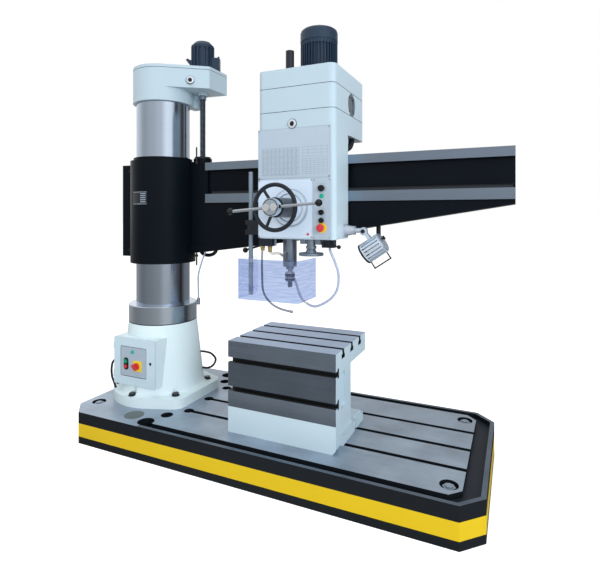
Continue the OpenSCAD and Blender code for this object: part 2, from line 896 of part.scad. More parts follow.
module head_middle() {
    color("#c5dce6")
        difference() {
            translate([0, 0, seam_1])
                linear_extrude(seam_2 - seam_1)
                    head_plan(0);
            block([head_left + wall, head_right - wall], [wall - head_front, hood_y - wall],
                [seam_1 + 20, seam_2 + 1]);
            bar_z([spindle_x, spindle_y], 34 + fit, seam_1 - 1, seam_2);
            bar_z([motor_x, motor_y], 24 + fit, seam_1 - 1, seam_2);
            bar_x(side_cover, 66, head_right - 9, head_right + 1);
            bar_x(side_cover, 42, head_right - 13, head_right);
            head_seam(seam_1);
            head_seam(seam_2);
        }
}

// Top casting with the motor seat and the tube round the spindle's upper end
module head_cover() {
    color("#c5dce6")
        difference() {
            union() {
                translate([0, 0, seam_2])
                    linear_extrude(head_top - seam_2)
                        head_plan(0);
                bar_z([spindle_x, spindle_y], 24, head_top - 1, 2316);
            }
            block([head_left + wall, head_right - wall], [wall - head_front, hood_y - wall],
                [seam_2 - 1, head_top - 20]);
            bar_z([spindle_x, spindle_y], 21, seam_2, 2310);
            bar_z([motor_x, motor_y], 60, head_top - 30, head_top + 1);
            head_seam(seam_2);
        }
}

// Finned motor body on its flange, with a terminal box to the back
module main_motor() {
    color("#20262c")
        translate([motor_x, motor_y, head_top])
            difference() {
                union() {
                    cylinder(h = 20, r = 125);
                    linear_extrude(motor_h)
                        union() {
                            circle(96);
                            for (i = [0 : 35])
                                rotate(10 * i)
                                    translate([0, -2.5])
                                        square([109, 5]);
                        }
                    translate([0, 0, 20])
                        cylinder(h = 16, r = 106);
                    translate([0, 0, motor_h - 24])
                        cylinder(h = 24, r = 106);
                    translate([-52, 70, 70])
                        cube([104, 78, 90]);
                }
                translate([0, 0, -1])
                    cylinder(h = 180, r = 30);
            }
}

// Domed fan cover with air slots in its top
module motor_fan_cover() {
    color("#20262c")
        translate([motor_x, motor_y, head_top + motor_h])
            difference() {
                rotate_extrude()
                    polygon([[0, 0], [110, 0], [110, 52], [106, 64], [96, 72], [60, 78], [0, 81]]);
                translate([0, 0, -1])
                    cylinder(h = 58, r = 104);
                for (i = [0 : 17])
                    rotate([0, 0, 20 * i])
                        translate([40, -4, 46])
                            cube([44, 8, 40]);
            }
}

module control_panel() {
    color("lightsteelblue")
        difference() {
            block([panel[0], panel[1]], [-head_front - panel_t, -head_front], [panel[2], panel[3]]);
            for (z = [1519, 1392])
                bar_y([control_x, z], 6 + fit, -head_front - 10, -head_front + 1);
            for (z = [1350, 1310])
                bar_y([control_x, z], 9, -head_front - 10, -head_front + 1);
        }
}

// Graduated ring plate round the feed shaft
module feed_dial() {
    color("lightgray")
        difference() {
            translate([hub[0], -head_front, hub[1]])
                rotate([90, 0, 0])
                    rotate_extrude()
                        polygon([[32, 0], [104, 0], [104, 10], [94, 19], [78, 19], [74, 14], [60, 14],
                            [60, 30], [32, 30]]);
            for (i = [0 : 35])
                translate([hub[0], -head_front - 19, hub[1]])
                    rotate([0, 10 * i, 0])
                        translate([82, -1, -0.5])
                            cube([10, 2, 1]);
        }
}

// Worm housing of the fine feed under the head, with a clutch pin housing and a stop block beside it
module fine_feed_housing() {
    color("gray")
        difference() {
            union() {
                bar_z(fine, 24, 1208, head_bottom);
                rblock([fine[0] - 62, fine[0] - 30], [fine[1] - 16, fine[1] + 16], [1219, head_bottom], 6);
                rblock([fine[0] + 28, fine[0] + 62], [fine[1] - 18, fine[1] + 18], [1217, head_bottom], 4);
                block([fine[0] - 40, fine[0] + 40], [fine[1] - 8, fine[1] + 8], [1228, head_bottom]);
            }
            bar_z(fine, 9 + fit, 1200, head_bottom + 1);
        }
}

// Flexible conduit between the hood and the head's back
module head_conduits() {
    color("black")
        tube(hood_bend, 17, 10);
}

// Coolant cock under the head's right end and the pipe bracket under its left front corner
module coolant_valve() {
    color("dimgray") {
        difference() {
            block([valve[0], valve[1]], [valve[2], valve[3]], [valve[4] + 6, head_bottom]);
            block([valve[0] + 14, valve[0] + 38], [valve[2] - 1, valve[2] + 6],
                [valve[4] + 14, valve[4] + 40]);
        }
        difference() {
            bar_y(cock, 13, valve[2] - 10, valve[2] + 1);
            bar_y(cock, 5 + fit, valve[2] - 11, valve[2] + 2);
        }
        rblock([862, 948], [-214, -172], [pipe_block, head_bottom], 10);
        for (p = [nozzle_pipe[0], hose_loop[len(hose_loop) - 1]]) {
            bar_z([p[0], p[1]], 11, p[2] - 14, pipe_block + 1);
            translate([p[0], p[1], pipe_block - 12])
                cylinder(h = 12, r = 15, $fn = 6);
        }
    }
}

// Cock lever with its stub in the valve and a ball end
module valve_lever() {
    color("#20262c")
        union() {
            bar_y(cock, 5, valve[2] - 12, valve[2]);
            bar_y(cock, 10, valve[2] - 22, valve[2] - 10 - slide_gap);
            translate([cock[0], valve[2] - 16, cock[1]])
                rotate([0, 104, 0])
                    union() {
                        cylinder(h = 52, r = 4);
                        translate([0, 0, 52])
                            sphere(11);
                    }
        }
}

// Reversing lever under the head's left side, with its pivot pin and a ball end
module reverse_lever() {
    length = norm(lever_reach);
    color("#20262c")
        union() {
            bar_y(lever_pin, 6, -97, -64);
            bar_y(lever_pin, 15, -112, -96 - slide_gap);
            translate([lever_pin[0], -104, lever_pin[1]])
                rotate([0, atan2(lever_reach[0], lever_reach[1]), 0])
                    union() {
                        cylinder(h = length, r = 6);
                        translate([0, 0, length])
                            sphere(16);
                    }
        }
}

module coolant_hose() {
    color("lightsteelblue")
        tube(hose_loop, 7);
}

module coolant_pipe() {
    color("silver")
        tube(nozzle_pipe, 6, 10);
}

module guard_clamp() {
    color("#1b2128")
        difference() {
            union() {
                block([rod[0] - 24, head_left], [rod[1] - 24, rod[1] + 24], [1266, 1294]);
                block([rod[0] - 24, head_left], [rod[1] - 24, rod[1] + 24], [1322, 1349]);
                block([rod[0] + 18, head_left], [rod[1] - 18, rod[1] + 18], [1270, 1345]);
                bar_z(rod, 22, 1266, 1349);
            }
            bar_z(rod, rod_r + fit, 1200, 1400);
        }
}

module guard_rod() {
    color("silver")
        bar_z(rod, rod_r, 921, 1625);
}

// Clear three-sided guard with two clips round the rod
module guard_shield() {
    color("lightblue")
        difference() {
            union() {
                difference() {
                    rblock(guard_x, [guard_y[0], guard_y[1] + 60], [guard_z, guard_z + guard_h], 24);
                    rblock([guard_x[0] + guard_t, guard_x[1] - guard_t],
                        [guard_y[0] + guard_t, guard_y[1] + 80], [guard_z - 1, guard_z + guard_h + 1], 20);
                    block([guard_x[0] - 1, guard_x[1] + 1], [guard_y[1], guard_y[1] + 90],
                        [guard_z - 1, guard_z + guard_h + 1]);
                }
                for (z = [guard_z + 24, guard_z + guard_h - 60]) {
                    bar_z(rod, 20, z, z + 30);
                    block([guard_x[0] + 1, rod[0]], [rod[1] - 14, rod[1] + 14], [z, z + 30]);
                }
            }
            bar_z(rod, rod_r + fit, guard_z - 1, guard_z + guard_h + 1);
        }
}

// Conical lamp bracket on a plate on the head's right side
module lamp_bracket() {
    color("#c5dce6")
        union() {
            block([head_right, head_right + 10], [lamp_axis[1] - 36, lamp_axis[1] + 34], [1258, 1328]);
            translate([head_right + 10, lamp_axis[1], lamp_axis[2] + 4])
                rotate([0, 90, 0])
                    cylinder(h = 36, r1 = 32, r2 = 24);
            bar_x([lamp_axis[1], lamp_axis[2] + 4], 24, head_right + 46, head_right + 62);
        }
}

// Swivelling tube of the lamp, with the eye of its elbow
module lamp_arm() {
    color("silver")
        difference() {
            union() {
                bar_x([lamp_axis[1], lamp_axis[2] + 4], 13, head_right + 62 + slide_gap, lamp_axis[0] - 16);
                bar_y([lamp_axis[0], lamp_axis[2]], 22, lamp_axis[1] - 9, lamp_axis[1] + 9);
            }
            bar_y([lamp_axis[0], lamp_axis[2]], 7 + fit, lamp_axis[1] - 20, lamp_axis[1] + 20);
        }
}

// Lamp outline in cross section: a round body with deep cooling fins
module lamp_section() {
    circle(50);
    for (i = [0 : 17])
        rotate(20 * i)
            translate([0, -6])
                square([55.5, 12]);
}

// Tilting lamp: forked stem with its pin, finned body, glass seat and wire handle
module lamp_head() {
    color("gainsboro")
        translate(lamp_axis)
            union() {
                rotate([90, 0, 0])
                    translate([0, 0, -18])
                        cylinder(h = 36, r = 7);
                for (s = [-1, 1])
                    lamp_fork(s);
                translate([54, 0, -90])
                    rotate([0, -lamp_tilt, 0])
                        lamp_body();
            }
}

module lamp_fork(side) {
    rotate([0, 140, 0])
        translate([-9, side * 13.5 - 4, -11])
            cube([18, 8, 76]);
    bar_y([0, 0], 14, side * 13.5 - 4, side * 13.5 + 4);
}

module lamp_body() {
    rotate([0, 90, 0])
        difference() {
            union() {
                translate([0, 0, -56])
                    linear_extrude(116)
                        lamp_section();
                translate([0, 0, -62])
                    cylinder(h = 16, r = 57);
                translate([0, 0, 56])
                    cylinder(h = 10, r1 = 55, r2 = 49);
            }
            translate([0, 0, -63])
                cylinder(h = 36, r = 50);
        }
    translate([0, 0, -54])
        lamp_handle();
}

module lamp_handle() {
    for (x = [-52, 50])
        translate([x, 0, -40])
            cylinder(h = 48, r = 3.6);
    translate([-55.6, 0, -40])
        rotate([0, 90, 0])
            cylinder(h = 109.2, r = 3.6);
}

// Traverse wheel: rim, three spokes, sleeve, neck through the head wall and its gear
module traverse_handwheel() {
    color("#20262c")
        difference() {
            union() {
                translate([hub[0], wheel_y, hub[1]])
                    rotate([90, 0, 0])
                        rotate_extrude()
                            translate([116, 0])
                                circle(11);
                for (a = [125, 245, 5])
                    translate([hub[0], wheel_y, hub[1]])
                        rotate([0, 90 - a, 0])
                            cylinder(h = 116, r = 8);
                bar_y(hub, 52, -402, -248);
                bar_y(hub, 30, -249, -172);
                along_y(hub, -192, -174)
                    gear(feed_m, sleeve_gear_z, -train_angle - 90 - 180 / sleeve_gear_z);
            }
            bar_y(hub, 15 + fit, -500, -100);
            bar_y(hub, 48, -440, -402);
        }
}

// Shaft from the wheel's gear to the rack, with a pinion behind the head
module transfer_shaft() {
    color("gray")
        union() {
            bar_y(transfer, 12, -192, 34);
            along_y(transfer, -192, -174)
                gear(feed_m, transfer_gear_z, 90 - train_angle);
            along_y(transfer, 7, 33)
                gear(rack_m, rack_z);
        }
}

// Feed shaft: front hub with two bosses and the levers' cross slot, shaft through the wheel and quill pinion
module feed_hub() {
    color("silver")
        difference() {
            union() {
                bar_y(hub, 46, -451, -403);
                for (side = [-1, 1])
                    bar_y(hub + side * 22 * [cos(lever_lean), -sin(lever_lean)], 19, -459, -450);
                bar_y(hub, 15, -404, -64);
                along_y(hub, spindle_y - 18, spindle_y + 18)
                    gear(feed_m, feed_z, 90);
            }
            translate([hub[0], lever_y, hub[1]])
                rotate([0, lever_lean, 0])
                    block([-60, 60], [-21, 9], [-9, 9]);
        }
}

// Two feed levers on one cross bar that slides in the hub's slot, with ball ends
module feed_levers() {
    color("silver")
        translate([hub[0], lever_y, hub[1]])
            rotate([0, lever_lean, 0])
                union() {
                    bar_x([0, 0], 8, -238, 238);
                    for (s = [-1, 1])
                        translate([s * 252, 0, 0])
                            sphere(18);
                }
}

// Quill with rack teeth down its right side and the spindle's bearing bore
module quill() {
    pitch_x = hub_x - feed_pitch_r;
    gaps = 40;
    color("silver")
        difference() {
            bar_z([spindle_x, spindle_y], quill_r, head_bottom + 3, quill_top);
            bar_z([spindle_x, spindle_y], 28 + fit, head_bottom, quill_top + 1);
            translate([pitch_x, spindle_y - 24, hub_z + (gaps - 6) / 2 * PI * feed_m])
                rotate([0, -90, 0])
                    rotate([-90, 0, 0])
                        linear_extrude(48)
                            difference() {
                                translate([-gaps / 2 * PI * feed_m, -3.8])
                                    square([gaps * PI * feed_m, 16]);
                                polygon(rack_points(feed_m, gaps + 1, 6));
                            }
        }
}

// Spindle: nose with drift slot, bearing length in the quill and splined upper shaft
module spindle() {
    color("gray")
        difference() {
            union() {
                bar_z([spindle_x, spindle_y], nose_r, nose_z, head_bottom + 3 - slide_gap);
                bar_z([spindle_x, spindle_y], 28, head_bottom, quill_top);
                translate([spindle_x, spindle_y, quill_top])
                    linear_extrude(2305 - quill_top)
                        spline(0);
            }
            translate([spindle_x, spindle_y, 1146])
                rotate([90, 0, 0])
                    translate([0, 0, -60])
                        linear_extrude(120)
                            rrect(13, 40, 6);
            translate([spindle_x, spindle_y, nose_z - 1])
                cylinder(h = 140, r1 = 22.2, r2 = 18.6);
        }
}

module spline(gap) {
    circle(16 + gap);
    for (i = [0 : 5])
        rotate(60 * i)
            translate([0, -3 - gap])
                square([19 + gap, 6 + 2 * gap]);
}

// Drill chuck on a taper: arbor, body with grip rings and three jaws
module chuck() {
    color("dimgray")
        translate([spindle_x, spindle_y, 0])
            union() {
                translate([0, 0, nose_z])
                    cylinder(h = 120, r1 = 22.14, r2 = 19.06);
                translate([0, 0, 1068])
                    cylinder(h = 18, r = 22.14);
                translate([0, 0, 1052])
                    cylinder(h = 17, r1 = 9, r2 = 14);
                rotate_extrude()
                    polygon([[0, 1000], [24, 1000], [28, 1006], [28, 1016], [25, 1018], [25, 1024], [28, 1026],
                        [28, 1044], [24, 1053], [0, 1053]]);
                for (a = [30, 150, 270])
                    rotate([0, 0, a])
                        translate([2, -6, 966])
                            cube([12, 12, 35]);
            }
}

module spindle_gear() {
    color("gray")
        translate([spindle_x, spindle_y, 0])
            difference() {
                union() {
                    translate([0, 0, seam_1])
                        cylinder(h = gear_level - seam_1, r = 34);
                    translate([0, 0, gear_level - 1])
                        linear_extrude(29)
                            gear(drive_m, spindle_gear_z, drive_angle - 90 - 180 / spindle_gear_z);
                    translate([0, 0, gear_level])
                        cylinder(h = 70, r = 30);
                }
                translate([0, 0, seam_1 - 1])
                    linear_extrude(200)
                        spline(slide_gap);
            }
}

module motor_gear() {
    color("gray")
        translate([motor_x, motor_y, 0])
            union() {
                translate([0, 0, seam_1])
                    cylinder(h = gear_level - seam_1, r = 24);
                translate([0, 0, gear_level - 1])
                    linear_extrude(29)
                        gear(drive_m, motor_gear_z, drive_angle + 90);
                translate([0, 0, gear_level])
                    cylinder(h = 350, r = 19);
            }
}

// Fine feed handwheel: dished wheel with a rounded rim on an upright shaft
module fine_feed_wheel() {
    color("gray")
        translate([fine[0], fine[1], 0])
            union() {
                rotate_extrude()
                    polygon([[0, 1162], [54, 1160], [60, 1156], [66, 1156], [68, 1160], [68, 1168], [66, 1171],
                        [58, 1171], [32, 1172], [22, 1194], [29, 1194], [29, 1207.5], [0, 1207.5]]);
                translate([0, 0, 1207])
                    cylinder(h = 36, r = 9);
            }
}

// Turning knob with a pointer ridge
module turn_knob(z, r) {
    color("#20262c") {
        bar_y([control_x, z], 6, -head_front - panel_t - 2, -head_front - 1);
        bar_y([control_x, z], r, -head_front - panel_t - 14, -head_front - panel_t - 2);
        translate([control_x, -head_front - panel_t - 14, z])
            rotate([90, 35, 0])
                linear_extrude(8)
                    rrect(2 * r, 8, 3);
    }
}

module speed_knob() {
    turn_knob(1519, 17);
}

module selector_knob() {
    turn_knob(1392, 14);
}

module push_button() {
    color("#20262c") {
        bar_y([control_x, 1350], 8.5, -head_front - panel_t - 6, -head_front + 5);
        bar_y([control_x, 1350], 14, -head_front - panel_t - 14, -head_front - panel_t - 5.5);
    }
}

module stop_mushroom() {
    color("crimson") {
        bar_y([control_x, 1310], 8.5, -head_front - panel_t - 16, -head_front + 5);
        translate([control_x, -head_front - panel_t - 14, 1310])
            rotate([90, 0, 0])
                rotate_extrude()
                    polygon([[0, 0], [14, 0], [21, 7], [21, 12], [17, 18], [0, 20]]);
    }
}

base_casting();
levelling_screws();
column_foot();
foot_bolts();
inner_column();
box_table();
switch_box();
foot_cables();
switch_door();
main_switch();
start_button();
stop_button();
outer_column();
clamp_ring();
column_bearings();
top_cap();
lift_motor();
lead_screw();
arm_casting();
clamp_cover();
guideways();
traverse_rack();
lift_nut();
limit_rod();
arm_hose();
clamp_hose();
head_casing();
head_middle();
head_cover();
main_motor();
motor_fan_cover();
control_panel();
feed_dial();
fine_feed_housing();
head_conduits();
coolant_valve();
valve_lever();
reverse_lever();
coolant_hose();
coolant_pipe();
guard_clamp();
lamp_bracket();
traverse_handwheel();
transfer_shaft();
feed_hub();
feed_levers();
quill();
spindle();
chuck();
spindle_gear();
motor_gear();
fine_feed_wheel();
speed_knob();
selector_knob();
push_button();
stop_mushroom();
guard_rod();
guard_shield();
lamp_arm();
lamp_head();
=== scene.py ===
import math

import bpy
import numpy as np
from mathutils import Matrix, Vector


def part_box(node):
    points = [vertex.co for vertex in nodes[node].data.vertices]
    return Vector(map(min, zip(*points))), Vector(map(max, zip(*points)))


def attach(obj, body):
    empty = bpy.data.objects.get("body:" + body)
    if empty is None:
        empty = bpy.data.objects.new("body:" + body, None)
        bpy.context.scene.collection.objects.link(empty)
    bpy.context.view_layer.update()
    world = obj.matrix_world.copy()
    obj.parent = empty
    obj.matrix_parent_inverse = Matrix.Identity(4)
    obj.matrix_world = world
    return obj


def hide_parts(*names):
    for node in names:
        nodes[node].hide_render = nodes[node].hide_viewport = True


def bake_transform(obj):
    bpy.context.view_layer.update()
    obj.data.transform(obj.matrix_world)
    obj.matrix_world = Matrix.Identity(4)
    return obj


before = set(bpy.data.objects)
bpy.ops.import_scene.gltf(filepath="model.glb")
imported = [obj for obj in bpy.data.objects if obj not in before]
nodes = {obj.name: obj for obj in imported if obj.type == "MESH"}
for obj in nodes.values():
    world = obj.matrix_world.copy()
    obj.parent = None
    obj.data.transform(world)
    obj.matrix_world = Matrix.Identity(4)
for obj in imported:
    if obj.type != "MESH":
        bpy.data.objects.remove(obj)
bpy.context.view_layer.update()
print("frame loaded:", len(nodes), "nodes")

mm = 0.001
toFront, toTop, toRight = (0, -1, 0), (0, 0, 1), (1, 0, 0)


def srgb(code):
    # screen colour, as six hex digits, to the linear values that shaders take
    part = np.array([int(code[i:i + 2], 16) for i in (0, 2, 4)]) / 255
    linear = np.where(part < 0.04045, part / 12.92, ((part + 0.055) / 1.055) ** 2.4)
    return (*linear.tolist(), 1.0)


# camera at the photograph's viewpoint
view = dict(place=(2.1783, -2.5195, 1.3808), turn=0.433, sensor=36, lens=28.19, shiftX=0.0025, shiftY=-0.1183,
            reach=200)
camData = bpy.data.cameras.new("camera")
camData.sensor_width = view["sensor"]
camData.lens = view["lens"]
camData.shift_x = view["shiftX"]
camData.shift_y = view["shiftY"]
camData.clip_end = view["reach"]
cam = bpy.data.objects.new("camera", camData)
cam.location = view["place"]
cam.rotation_euler = (math.pi / 2, 0, view["turn"])
bpy.context.scene.collection.objects.link(cam)
bpy.context.scene.camera = cam
bpy.context.scene.view_settings.view_transform = "Standard"

# mesh helpers: every new piece is a grid of points, with wrapped rows and flat caps
sharpAngle = math.radians(32)


def meshPiece(name, points, faces, smooth=True):
    mesh = bpy.data.meshes.new(name)
    mesh.from_pydata(np.asarray(points, float).reshape(-1, 3).tolist(), [], faces)
    if smooth:
        mesh.polygons.foreach_set("use_smooth", [True] * len(mesh.polygons))
        mesh.set_sharp_from_angle(angle=sharpAngle)
    mesh.update()
    piece = bpy.data.objects.new(name, mesh)
    bpy.context.scene.collection.objects.link(piece)
    return piece


def gridFaces(rows, cols, start=0):
    # quads between neighbouring rings of a grid whose columns wrap round, and one flat cap at each end
    i, j = np.meshgrid(np.arange(rows - 1), np.arange(cols), indexing="ij")
    a = start + i * cols + j
    b = start + i * cols + (j + 1) % cols
    faces = np.stack([a, b, b + cols, a + cols], axis=-1).reshape(-1, 4).tolist()
    last = start + (rows - 1) * cols
    return faces + [list(range(start + cols - 1, start - 1, -1)), list(range(last, last + cols))]


def circle(sides):
    return np.linspace(0, 2 * np.pi, sides, endpoint=False)


def axes(direction):
    # two unit vectors square to a direction, so that (u, v, direction) is right-handed
    d = np.asarray(direction, float) / np.linalg.norm(direction)
    nearlyUpright = abs(d[2]) >= 0.9
    u = np.cross(toRight if nearlyUpright else toTop, d)
    u /= np.linalg.norm(u)
    return u, np.cross(d, u), d


def turned(name, profile, places, direction=toFront, sides=48):
    # (radius, height) pairs turned about a direction, as one mesh at one or more places:
    # place + h d + r (cos a u + sin a v)
    u, v, d = axes(direction)
    r, h = np.array(profile, float).T[:, :, None, None]
    a = circle(sides)[:, None]
    shape = h * d + r * (np.cos(a) * u + np.sin(a) * v)
    places = np.atleast_2d(places)
    rows = len(profile)
    faces = [f for k in range(len(places)) for f in gridFaces(rows, sides, k * rows * sides)]
    return meshPiece(name, (places[:, None, None] + shape) * mm, faces)


def platePiece(name, size, corner, bevel, centre):
    # rounded rectangle that faces the front, carried outwards in three rings, the last one drawn in by the bevel
    width, height, thick = size
    steps = 7
    quarter = np.linspace(0, np.pi / 2, steps)
    turn = np.concatenate([quarter + k * np.pi / 2 for k in range(4)])
    signs = np.repeat([[1, 1], [-1, 1], [-1, -1], [1, -1]], steps, axis=0)
    core = signs * (width / 2 - corner, height / 2 - corner)
    rings = []
    for inset, depth in ((0, 0), (0, thick - bevel), (bevel, thick)):
        x, z = (core + (corner - inset) * np.stack([np.cos(turn), np.sin(turn)], axis=-1)).T
        rings.append(np.stack([x, np.full(len(x), -float(depth)), z], axis=-1) + centre)
    return meshPiece(name, np.array(rings) * mm, gridFaces(len(rings), 4 * steps))


def barGroup(name, low, high):
    # many small blocks as one mesh, each from its lowest to its highest corner
    low, high = np.asarray(low, float), np.asarray(high, float)
    pick = np.array([[0, 0, 0], [1, 0, 0], [1, 1, 0], [0, 1, 0], [0, 0, 1], [1, 0, 1], [1, 1, 1], [0, 1, 1]])
    points = low[:, None] + pick * (high - low)[:, None]
    quads = np.array([[0, 3, 2, 1], [4, 5, 6, 7], [0, 1, 5, 4], [1, 2, 6, 5], [2, 3, 7, 6], [3, 0, 4, 7]])
    faces = (quads + len(pick) * np.arange(len(low))[:, None, None]).reshape(-1, 4).tolist()
    return meshPiece(name, points * mm, faces, smooth=False)


def smoothRoute(route, steps):
    # Catmull-Rom curve through the route's points
    p = np.asarray(route, float)
    p = np.concatenate([p[:1], p, p[-1:]])
    t = (np.arange(steps) / steps)[:, None]
    parts = [0.5 * (2 * b + (c - a) * t + (2 * a - 5 * b + 4 * c - d) * t ** 2 + (3 * b - a - 3 * c + d) * t ** 3)
             for a, b, c, d in zip(p[:-3], p[1:-2], p[2:-1], p[3:])]
    return np.concatenate(parts + [p[-1:]])


def tubeGrid(line, radii, sides):
    # a circle of the given radius carried along a line, turned no more than the line turns
    heading = np.gradient(line, axis=0)
    heading /= np.linalg.norm(heading, axis=1)[:, None]
    u = axes(heading[0])[0]
    frames = []
    for d in heading:
        u = u - d * np.dot(u, d)
        u /= np.linalg.norm(u)
        frames.append((u, np.cross(d, u)))
    us, vs = np.array(frames).transpose(1, 0, 2)
    a = circle(sides)
    ring = np.cos(a)[None, :, None] * us[:, None] + np.sin(a)[None, :, None] * vs[:, None]
    return line[:, None] + np.asarray(radii)[:, None, None] * ring


# cords, in millimetres: the routes of the part's source, but clampLine bows to the front, clear of the lead screw
cords = dict(
    footCableLeft=dict(
        node="foot_cables", body="machine_base", radius=7, stiff="medium", lay="hanging", look="rubberSkin",
        route=[(-160, -205, 443), (-190, -222, 440), (-220, -232, 415), (-230, -234, 370), (-228, -232, 320),
               (-214, -226, 276), (-205, -222, 244)]),
    footCableRight=dict(
        node="foot_cables", body="machine_base", radius=7, stiff="medium", lay="loose", look="rubberSkin",
        route=[(204, 130, 440), (235, 140, 440), (285, 150, 430), (318, 156, 395), (300, 154, 352), (262, 146, 330),
               (216, 132, 332)]),
    armLoop=dict(
        node="arm_hose", body="arm", radius=12, stiff="stiff", lay="hanging", look="rubberSkin",
        route=[(181, 172, 1150), (183, 172, 1128), (203, 172, 1108), (245, 172, 1099), (289, 172, 1110),
               (311, 172, 1134), (313, 172, 1160)]),
    hangingLoop=dict(
        node="arm_hose", body="arm", radius=13, stiff="stiff", lay="hanging", look="rubberSkin",
        route=[(1471, 94, 1338), (1471, 94, 1298), (1471, 94, 1252), (1465, 114, 1200), (1452, 165, 1178),
               (1439, 216, 1200), (1433, 236, 1252), (1433, 236, 1296), (1433, 236, 1332)]),
    clampLine=dict(
        node="clamp_hose", radius=5, stiff="medium", lay="hanging", look="paleHose",
        route=[(172, 160, 800.6), (172, 160, 808), (172, 160, 822), (190, 134, 900), (218, 99, 975), (252, 90, 1060),
               (284, 92, 1140)],
        blend=((222, 126, 800.6), (222, 126, 1140))),
    hoodConduit=dict(
        node="head_conduits", body="head", radius=17, stiff="stiff", lay="hanging", look="rubberSkin", ridge=9.0,
        route=[(1291, 152, 1840), (1291, 150, 1812), (1288, 126, 1779), (1276, 76, 1758), (1258, 25, 1752)]),
    coolantLine=dict(
        node="coolant_hose", body="head", radius=7, stiff="medium", lay="hanging", look="clearHose",
        route=[(1264, -136, 1202), (1266, -132, 1180), (1284, -110, 1120), (1294, -80, 1046), (1277, -60, 962),
               (1230, -56, 902), (1145, -50, 858), (1076, -40, 874), (1038, -32, 912), (1010, -28, 980),
               (980, -34, 1060), (950, -60, 1130), (936, -110, 1158), (930, -160, 1158), (928, -186, 1166),
               (926, -192, 1184)]),
    nozzlePipe=dict(
        node="coolant_pipe", body="head", radius=6, stiff="stiff", lay="hanging", look="chromePlate", ridge=5.5,
        route=[(884, -200, 1192), (880, -200, 1150), (880, -200, 1040), (888, -198, 945), (930, -190, 884),
               (990, -182, 854), (1060, -176, 842)],
        tip=[(6.4, -16), (7.6, -14), (7.6, -6), (5.4, 0), (3.4, 0), (3.2, -6)]),
)
cordShape = dict(sides=16, tipSides=24, steps=10, ridgedSteps=40, ridgePoints=5, ridgeDepth=0.045, freeFrom=12)
cordPieces = []
for name, cord in cords.items():
    line = smoothRoute(cord["route"], cordShape["ridgedSteps" if "ridge" in cord else "steps"])
    along = np.concatenate([[0], np.cumsum(np.linalg.norm(np.diff(line, axis=0), axis=1))])
    radii = np.full(len(line), float(cord["radius"]))
    if "ridge" in cord:  # points at even steps, and a radius that rises and falls once in each pitch
        pitch, depth = cord["ridge"], cordShape["ridgeDepth"]
        even = np.linspace(0, along[-1], int(along[-1] / pitch * cordShape["ridgePoints"]))
        line = np.stack([np.interp(even, along, line[:, k]) for k in range(3)], axis=-1)
        radii = cord["radius"] * (1 - depth + depth * np.cos(2 * np.pi * even / pitch))
    grid = tubeGrid(line * mm, radii * mm, cordShape["sides"])
    piece = meshPiece(name, grid, gridFaces(len(line), cordShape["sides"]))
    if "blend" in cord:
        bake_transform(piece)
    else:
        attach(piece, cord["body"])
    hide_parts(cord["node"])
    tips = []
    if "tip" in cord:
        tips.append(turned(name + "Tip", cord["tip"], line[-1], line[-1] - line[-2], cordShape["tipSides"]))
        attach(tips[0], cord["body"])
    cordPieces += [(part, cord["look"]) for part in [piece] + tips]
print("cords laid:", len(cordPieces))


# shader helpers: a socket is linked, a colour code or a plain value is set
def feed(tree, node, values):
    for key, value in values.items():
        if isinstance(value, bpy.types.NodeSocket):
            tree.links.new(value, node.inputs[key])
        else:
            node.inputs[key].default_value = srgb(value) if isinstance(value, str) else value


def addNode(tree, kind, values=None, **settings):
    node = tree.nodes.new(kind)
    for key, value in settings.items():
        setattr(node, key, value)
    feed(tree, node, values or {})
    return node


def mathNode(tree, operation, a, b=0.0, clamp=False):
    return addNode(tree, "ShaderNodeMath", {0: a, 1: b}, operation=operation, use_clamp=clamp).outputs[0]


def operation(kind):
    return lambda tree, a, b=0.0: mathNode(tree, kind, a, b)


plus, minus, times, larger = map(operation, ("ADD", "SUBTRACT", "MULTIPLY", "MAXIMUM"))
over, under, unsigned = map(operation, ("GREATER_THAN", "LESS_THAN", "ABSOLUTE"))


def between(tree, value, low, high):
    return times(tree, over(tree, value, low), under(tree, value, high))


def share(tree, value, low, high):
    # how far a value has gone from low to high, held between 0 and 1
    return mathNode(tree, "MULTIPLY", minus(tree, value, low), 1 / (high - low), clamp=True)


def vectorNode(tree, operation, a, b=(0, 0, 0)):
    return addNode(tree, "ShaderNodeVectorMath", {0: a, 1: b}, operation=operation).outputs


def mixValue(tree, factor, a, b):
    return addNode(tree, "ShaderNodeMix", {0: factor, 2: a, 3: b}).outputs[0]


def mixColor(tree, factor, a, b):
    return addNode(tree, "ShaderNodeMix", {0: factor, 6: a, 7: b}, data_type="RGBA").outputs[2]


def mixShaders(tree, factor, a, b):
    both = addNode(tree, "ShaderNodeMixShader", {0: factor, 1: a.outputs[0], 2: b.outputs[0]})
    feed(tree, tree.nodes["Material Output"], {"Surface": both.outputs[0]})


def brighten(tree, color, change):
    # a colour made brighter or darker by a share of itself
    return addNode(tree, "ShaderNodeHueSaturation", {"Color": color, "Value": plus(tree, change, 1.0)}).outputs[0]


def noise(tree, place, scale, detail, rough=0.5):
    values = {"Vector": place, "Scale": scale, "Detail": detail, "Roughness": rough}
    return addNode(tree, "ShaderNodeTexNoise", values).outputs[0]


def objectPlace(tree):
    return addNode(tree, "ShaderNodeTexCoord").outputs["Object"]


def split(tree, vector):
    return addNode(tree, "ShaderNodeSeparateXYZ", {0: vector}).outputs


def placeOf(tree):
    return split(tree, objectPlace(tree))


def normalOf(tree):
    return split(tree, addNode(tree, "ShaderNodeNewGeometry").outputs["Normal"])


# shader groups shared by the finishes
colourSocket, valueSocket, vectorSocket = "NodeSocketColor", "NodeSocketFloat", "NodeSocketVector"
finishOutputs = [("Color", colourSocket), ("Roughness", valueSocket), ("Height", valueSocket)]
midGrey = (0.5, 0.5, 0.5, 1)


